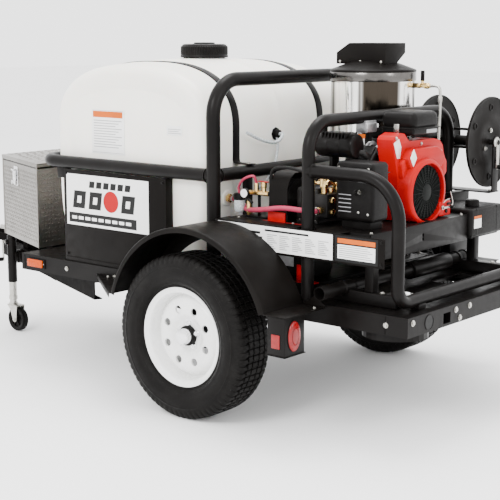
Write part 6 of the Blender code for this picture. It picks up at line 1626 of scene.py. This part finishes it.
def burner_unit():
    """Burner head with its fan housing."""
    face = HEATER_Y + HEATER_R + 0.0005
    head = [box((HEATER_X - 0.06, face, 0.63), (HEATER_X + 0.06, 0.5, 0.75), 0.004, 3)]
    fan = turned(mm((0, 0), (40, 0), (45, 4), (45, 96), (40, 100), (0, 100)), (HEATER_X - 0.05, 0.515, 0.69),
            REARWARD, 48)
    fins = [turned(mm((30, 0), (44.5, 0), (44.5, 1.6), (30, 1.6)),
            (HEATER_X - 0.042 + 0.012 * k, 0.515, 0.69), REARWARD, 40, ring=True) for k in range(8)]
    motor = [rod((HEATER_X + 0.048, 0.515, 0.69), (HEATER_X + 0.0499, 0.515, 0.69), 0.03, 32)]
    heads = bolts([(HEATER_X + x, face + 0.02, 0.7502) for x in (-0.045, 0.045)], UP, 0.005, 0.004)
    piece("burner_head", "chassis", [(COAT, *head, fan, *motor), (CASTING, *fins), (ZINC, *heads)],
            ["burner"])


def fuel_and_battery():
    """Fuel can with its cap, and the battery."""
    low = DECK_LOW + 0.0063
    y0, y1 = 0.245, 0.52
    body = box((X + 0.505, y0, low), (X + 0.715, y1, 0.82), 0.014, 5)
    ribs = [box((X + 0.5045, y, low + 0.01), (X + 0.7155, y + 0.012, 0.8175), 0.003) for y in (0.29, 0.46)]
    cx, cy = X + 0.662, 0.34
    cut = rod((cx, cy, 0.8), (cx, cy, 0.85), 0.02, 48)
    body = carved(body, cut)
    neck = turned(mm((20, 800), (24, 800), (24, 831), (23.2, 832), (20, 832)), (cx, cy, 0), UP, 48, ring=True)
    card = [box((X + 0.715, 0.27, 0.735), (X + 0.716, 0.33, 0.775), 0.0)]
    stripe = [box((X + 0.715, 0.27, 0.777), (X + 0.716, 0.33, 0.788), 0.0)]
    piece("fuel_can", "chassis", [(PLASTIC, body, *ribs, neck), (WHITE_VINYL, *card),
            (ORANGE_VINYL, *stripe)], ["fuel_tank"])
    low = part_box("fuel_cap")[0].z
    lid = knurled(lambda lift: [(0.0, 0.0298), (0.024, 0.0298), (0.0275, 0.0285), (0.0298 + lift, 0.026),
            (0.0308 + lift, 0.002), (0.03, 0.0), (0.0248, 0.0), (0.0248, 0.0125), (0.0, 0.0125)], 30,
            ((0.0, -0.0012), (0.25, 0.0), (0.65, 0.0), (0.9, -0.0012)), (cx, cy, low))
    piece("fuel_lid", "filler_cap", [(PLASTIC, lid)], ["fuel_cap"])
    # battery in its tray
    case = [box((X + 0.14, -0.39, SKID_TOP + 0.0003), (X + 0.32, -0.22, 0.685), 0.006, 3),
            box((X + 0.1385, -0.3915, 0.68), (X + 0.3215, -0.2185, 0.7), 0.005, 3)]
    case += [box((X + 0.145 + 0.029 * k, -0.3915, SKID_TOP + 0.02), (X + 0.151 + 0.029 * k, -0.2185, 0.67),
            0.001) for k in range(6)]
    posts = [rod((X + px, -0.25, 0.695), (X + px, -0.25, 0.715), 0.009, 24, 0.001) for px in (0.17, 0.29)]
    caps = [rod((X + 0.165 + 0.026 * k, -0.34, 0.6995), (X + 0.165 + 0.026 * k, -0.34, 0.7035), 0.0085, 24,
            0.0008) for k in range(6)]
    covers = [box((X + 0.157, -0.263, 0.7005), (X + 0.183, -0.237, 0.7125), 0.003, 3)]
    piece("battery_case", "chassis", [(PLASTIC, *case, *caps), (ZINC, *posts), (RED_PAINT, *covers)],
            ["battery"])


skid()
platform()
reel()
engine()
shroud()
crank_train()
top_of_engine()
pump_unit()
hoses()
controls()
belt_drive()
heater()
burner_unit()
fuel_and_battery()

# ---------------------------------------------------------------- running gear, deck plates and bolts


SPRING_Y, LEAF_BOW, EYE_REACH, RAIL_MID = 0.525, 0.26, 0.335, 0.476


def running_gear():
    """Axle tube, leaf packs with clips and U-bolts, and the spring hangers."""
    wx, az = WHEEL_X, AXLE_Z
    beam = [box((wx - 0.025, -0.59, az - 0.025), (wx + 0.025, 0.59, az + 0.025), 0.004, 3)]
    for side in (-1, 1):
        beam.append(rod((wx, side * 0.58, az), (wx, side * 0.7095, az), 0.0199, 36, 0.001))
        beam.append(rod((wx, side * 0.584, az), (wx, side * 0.6, az), 0.03, 36, 0.002))
    ties = []
    for side in (-1, 1):
        for x in (wx - 0.03, wx + 0.03):
            for y in (side * SPRING_Y - 0.0265, side * SPRING_Y + 0.0265):
                ties.append(rod((x, y, az - 0.036), (x, y, az + 0.062), 0.0042, 16, 0.0006))
                ties.append(rod((x, y, az - 0.036), (x, y, az - 0.03), 0.0078, 6, 0.0006))
        low, high = side * SPRING_Y - 0.034, side * SPRING_Y + 0.034
        ties.append(box((wx - 0.04, low, az - 0.0305), (wx + 0.04, high, az - 0.0255), 0.001))
    piece("axle_beam", "chassis", [(COAT, *beam), (ZINC, *ties)], ["axle"])
    for side, word in SIDES:
        base = az + 0.0253
        low, high = side * SPRING_Y - 0.0225, side * SPRING_Y + 0.0225
        leaves = []
        for level, half in enumerate((0.17, 0.25, 0.34)):
            lower, upper = base + 0.0076 * level, base + 0.0076 * (level + 1) - 0.0003
            steps = [half * k / 16 for k in range(-16, 17)]
            top = [(wx + x, upper + LEAF_BOW * x * x) for x in steps]
            bottom = [(wx + x, lower + LEAF_BOW * x * x) for x in reversed(steps)]
            trim = 0.0006 * (2 - level)
            leaves.append(plate(top + bottom, low + trim, high - trim, "Y", bevel=0.0008))
        for end in (-EYE_REACH, EYE_REACH):
            leaves.append(box((wx + end - 0.02, low + 0.004, 0.405), (wx + end + 0.02, high - 0.004, 0.4367),
                    0.0015))
            eye = 0.0228 + LEAF_BOW * end * end + base - 0.004
            leaves.append(rod((wx + end, low + 0.001, eye), (wx + end, high - 0.001, eye), 0.0105, 28, 0.001))
        pins = [rod((wx + end, low - 0.002, 0.0188 + LEAF_BOW * end * end + base),
                (wx + end, high + 0.002, 0.0188 + LEAF_BOW * end * end + base), 0.0055, 6, 0.0006)
                for end in (-EYE_REACH, EYE_REACH)]
        clips = []
        for x in (-0.15, 0.15):
            z = base + LEAF_BOW * x * x
            clips.append(box((wx + x - 0.008, low - 0.0022, z - 0.002),
                    (wx + x + 0.008, high + 0.0022, z + 0.0005), 0.0006))
            for y in (low - 0.0022, high - 0.0001):
                clips.append(box((wx + x - 0.008, y, z - 0.002), (wx + x + 0.008, y + 0.0023, z + 0.026),
                        0.0006))
        piece("leaf_pack_" + word, "chassis", [(COAT, *leaves, *clips), (ZINC, *pins)],
                ["leaf_spring_" + word])


def frame_details():
    """Bolts, weld beads, wiring and small plates on the frame and the tongue."""
    heads, welds, wires = [], [], []
    for x, side in ((AXLE_X + 0.3, -1), (AXLE_X + 0.82, -1), (AXLE_X + 0.3, 1), (AXLE_X + 0.82, 1),
            (-0.3, -1), (-0.3, 1), (0.02, -1), (0.02, 1)):
        heads += bolt((x, side * FRAME_SIDE, RAIL_MID), (0, side, 0), 0.0075)
    rear = AXLE_X + 0.917
    for y, z in ((-0.515, 0.492), (-0.205, 0.492), (-0.175, 0.455), (-0.1, 0.492), (0.3, RAIL_MID),
            (0.51, RAIL_MID)):
        heads += bolt((rear + 0.0002, y, z), REARWARD, 0.0085)
    lip = turned(mm((28, -2), (28, 2), (31, 2), (31.5, -2)), (rear, -0.4, RAIL_MID), REARWARD, 40, ring=True)
    dark = turned(mm((0, 0.2), (28.2, 0.2), (28.2, -2), (0, -2)), (rear + 0.0004, -0.4, RAIL_MID), REARWARD,
            40)
    welds.append(lip)
    for x in (-0.6, 0.06, 0.64, 1.48):
        for side in (-1, 1):
            welds.append(sweep([(x, side * (FRAME_SIDE + 0.0004), 0.44 + 0.0035 * k) for k in range(21)],
                    0.0018, 8))
    wires.append(hose([(-1.28, -0.06, 0.352), (-1.05, -0.16, 0.35), (-0.8, -0.26, 0.349),
            (-0.62, -0.34, 0.35)], 0.0045, 6, 10))
    wires.append(hose([(AXLE_X + 0.44, -0.7, 0.5), (AXLE_X + 0.4, -0.63, 0.496),
            (AXLE_X + 0.36, -0.575, 0.47)], 0.0035, 6, 10))
    piece("frame_hardware", "chassis", [(ZINC, *heads), (COAT, *welds), (BLACK_HOSE, *wires),
            (BLACK_VINYL, dark)])
    nose = AXLE_X - 2.245
    x = nose + 0.15
    steel = [plate([(x - 0.012, 0.4865), (x + 0.13, 0.4865), (x + 0.135, 0.49), (x + 0.135, 0.4955),
            (x + 0.122, 0.4965), (x + 0.09, 0.5115), (x - 0.006, 0.5118), (x - 0.012, 0.506)], low, high, "Y",
            bevel=0.0008) for low, high in ((-0.0198, -0.013), (0.013, 0.0198))]
    steel.append(box((x + 0.115, -0.0198, 0.4868), (x + 0.1348, 0.0198, 0.4958), 0.003, 3))
    steel.append(box((x + 0.02, -0.0198, 0.5002), (x + 0.04, 0.0198, 0.5118), 0.0015))
    grip = [box((x + 0.117, -0.016, 0.4955), (x + 0.133, 0.016, 0.4978), 0.001)]
    piece("coupler_grip", "coupler_lever", [(ZINC, *steel), (RED_PAINT, *grip)], ["coupler_latch"])


def caster():
    """Pressed fork with a swivel race, and a wheel with a rounded tread and a webbed hub."""
    y_axis = (0, 1, 0)
    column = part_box("caster_wheel")
    wheel_x, y, z = ((column[0][i] + column[1][i]) / 2 for i in range(3))
    stem = wheel_x - 0.035
    race = turned(mm((0, 137.5), (21.5, 137.5), (24.5, 140), (24.5, 145), (20.5, 148), (20, 152), (19, 154),
            (19, 164.8), (0, 165)), (stem, y, 0), UP, 40)
    steel = [race, box((stem - 0.0208, y - 0.0268, 0.1342), (wheel_x + 0.0218, y + 0.0268, 0.1403), 0.002)]
    for side in (-1, 1):
        low, high = sorted((y + side * 0.0237, y + side * 0.0268))
        leg = [(stem - 0.0205, 0.1395), (stem + 0.004, 0.11), (wheel_x - 0.015, z + 0.004)]
        leg += arc((wheel_x, z), 0.015, 195, 345, 12)
        leg += [(wheel_x + 0.015, z + 0.004), (wheel_x + 0.0215, 0.1395)]
        steel.append(plate(leg, low, high, "Y", bevel=0.0006))
    axle = rod((wheel_x, y - 0.0285, z), (wheel_x, y + 0.0285, z), 0.0055, 24, 0.0006)
    nuts = [rod((wheel_x, y + s * 0.0268, z), (wheel_x, y + s * 0.0308, z), 0.0088, 6, 0.0006)
            for s in (-1, 1)]
    piece("caster_bracket", "caster", [(ZINC, *steel, axle, *nuts)], ["caster_fork"])
    r = z - 0.0002
    tread = mirrored([(0.0455, 0.015), (0.05, 0.017), (0.056, 0.0182), (0.06, 0.0178), (r - 0.0018, 0.0155),
            (r - 0.0003, 0.0115), (r, 0.006)])
    tyre = turned(tread, (wheel_x, y, z), y_axis, 72, ring=True)
    hub = turned(mirrored(mm((6.6, 20.5), (15, 20.5), (16.5, 19), (16.5, 6), (40, 6), (42, 14), (46, 14.8))),
            (wheel_x, y, z), y_axis, 60, ring=True)
    webs = []
    for k in range(6):
        spin = Matrix.Translation((wheel_x, y, z)) @ Matrix.Rotation(2 * pi * k / 6, 4, "Y")
        webs.append(placed(box((0.0155, -0.013, -0.0016), (0.0415, 0.013, 0.0016), 0.0006), spin))
    piece("caster_disc", "caster_roller", [(RUBBER, tyre), (PLASTIC, hub, *webs)], ["caster_wheel"])


def skid_labels():
    """A yellow and red card on the deck, a silver card and a red bracket under the side plate."""
    yellow = [box((AXLE_X - 0.02, -0.4795, 0.8008), (AXLE_X + 0.135, -0.466, 0.8014), 0.0)]
    red = [box((AXLE_X + 0.14, -0.4795, 0.8008), (AXLE_X + 0.355, -0.45, 0.8014), 0.0)]
    stand = [box((AXLE_X - 0.0255, -0.4835, 0.8003), (AXLE_X + 0.36, -0.43, 0.8008), 0.0)]
    cube = [box((AXLE_X + 0.165, -0.452, DECK_TOP + 0.0003), (AXLE_X + 0.255, -0.446, DECK_TOP + 0.04),
            0.002)]
    piece("deck_cards", "chassis", [(YELLOW_VINYL, *yellow), (RED_VINYL, *red), (BLACK_VINYL, *stand),
            (RED_PAINT, *cube)])
    under = [box((AXLE_X + 0.33, -0.47, 0.575), (AXLE_X + 0.415, -0.464, 0.64), 0.003),
            box((AXLE_X + 0.33, -0.47, 0.5665), (AXLE_X + 0.415, -0.43, 0.5725), 0.002)]
    silver = [box((AXLE_X + 0.14, -0.3925, 0.61), (AXLE_X + 0.255, -0.3915, 0.65), 0.0)]
    piece("skid_bracket", "chassis", [(RED_PAINT, *under), (CAST_ALUMINIUM, *silver)])


running_gear()
frame_details()
caster()
skid_labels()

# ---------------------------------------------------------------- floor, light and camera


FLOOR_Z, FLOOR_REACH, AMBIENT = -0.0012, 40, 2.9
SENSOR, FOCAL_LENGTH = 36.0, 90.2
EYE, VIEW_AZIMUTH, VIEW_PITCH = (4.048, -4.4015, 1.567), 40.0, 9.9


def studio():
    """A pale floor, a white sky and three soft lamps."""
    floor_mesh = bpy.data.meshes.new("floor")
    floor_mesh.from_pydata([(x * FLOOR_REACH, y * FLOOR_REACH, FLOOR_Z)
            for x, y in ((-1, -1), (1, -1), (1, 1), (-1, 1))], [], [(0, 1, 2, 3)])
    floor = linked("floor", floor_mesh)
    floor_mesh.materials.append(surface("floor_paint", (0.93, 0.93, 0.93), 0.8, other=(0.915, 0.915, 0.915),
            patch=0.4, grain=60, bump=0.02))
    world = bpy.data.worlds.new("studio")
    world.use_nodes = True
    world.node_tree.nodes["Background"].inputs["Color"].default_value = (1.0, 1.0, 1.0, 1.0)
    world.node_tree.nodes["Background"].inputs["Strength"].default_value = AMBIENT
    bpy.context.scene.world = world
    for name, place, aim, size, power in (("key", (1.0, -5.5, 4.2), (0.2, 0.0, 0.7), (2.2, 1.6), 300),
            ("rear_fill", (6.0, -0.5, 3.0), (0.6, 0.0, 0.7), (1.2, 1.2), 60),
            ("top", (0.0, 0.5, 5.5), (0.0, 0.0, 0.5), (3.0, 2.2), 260),):
        light = bpy.data.lights.new(name, "AREA")
        light.shape = "RECTANGLE"
        light.size, light.size_y = size
        light.energy = power
        lamp = linked(name, light)
        lamp.location = place
        lamp.rotation_euler = (Vector(aim) - Vector(place)).to_track_quat("-Z", "Y").to_euler()


def camera():
    """The camera behind the trailer's left corner."""
    lens = bpy.data.cameras.new("camera")
    lens.sensor_width = SENSOR
    lens.lens = FOCAL_LENGTH
    eye = linked("camera", lens)
    azimuth, pitch = radians(VIEW_AZIMUTH), radians(VIEW_PITCH)
    eye.location = EYE
    toward = Vector((-sin(azimuth) * cos(pitch), cos(azimuth) * cos(pitch), -sin(pitch)))
    eye.rotation_euler = toward.to_track_quat("-Z", "Y").to_euler()
    bpy.context.scene.camera = eye


studio()
camera()
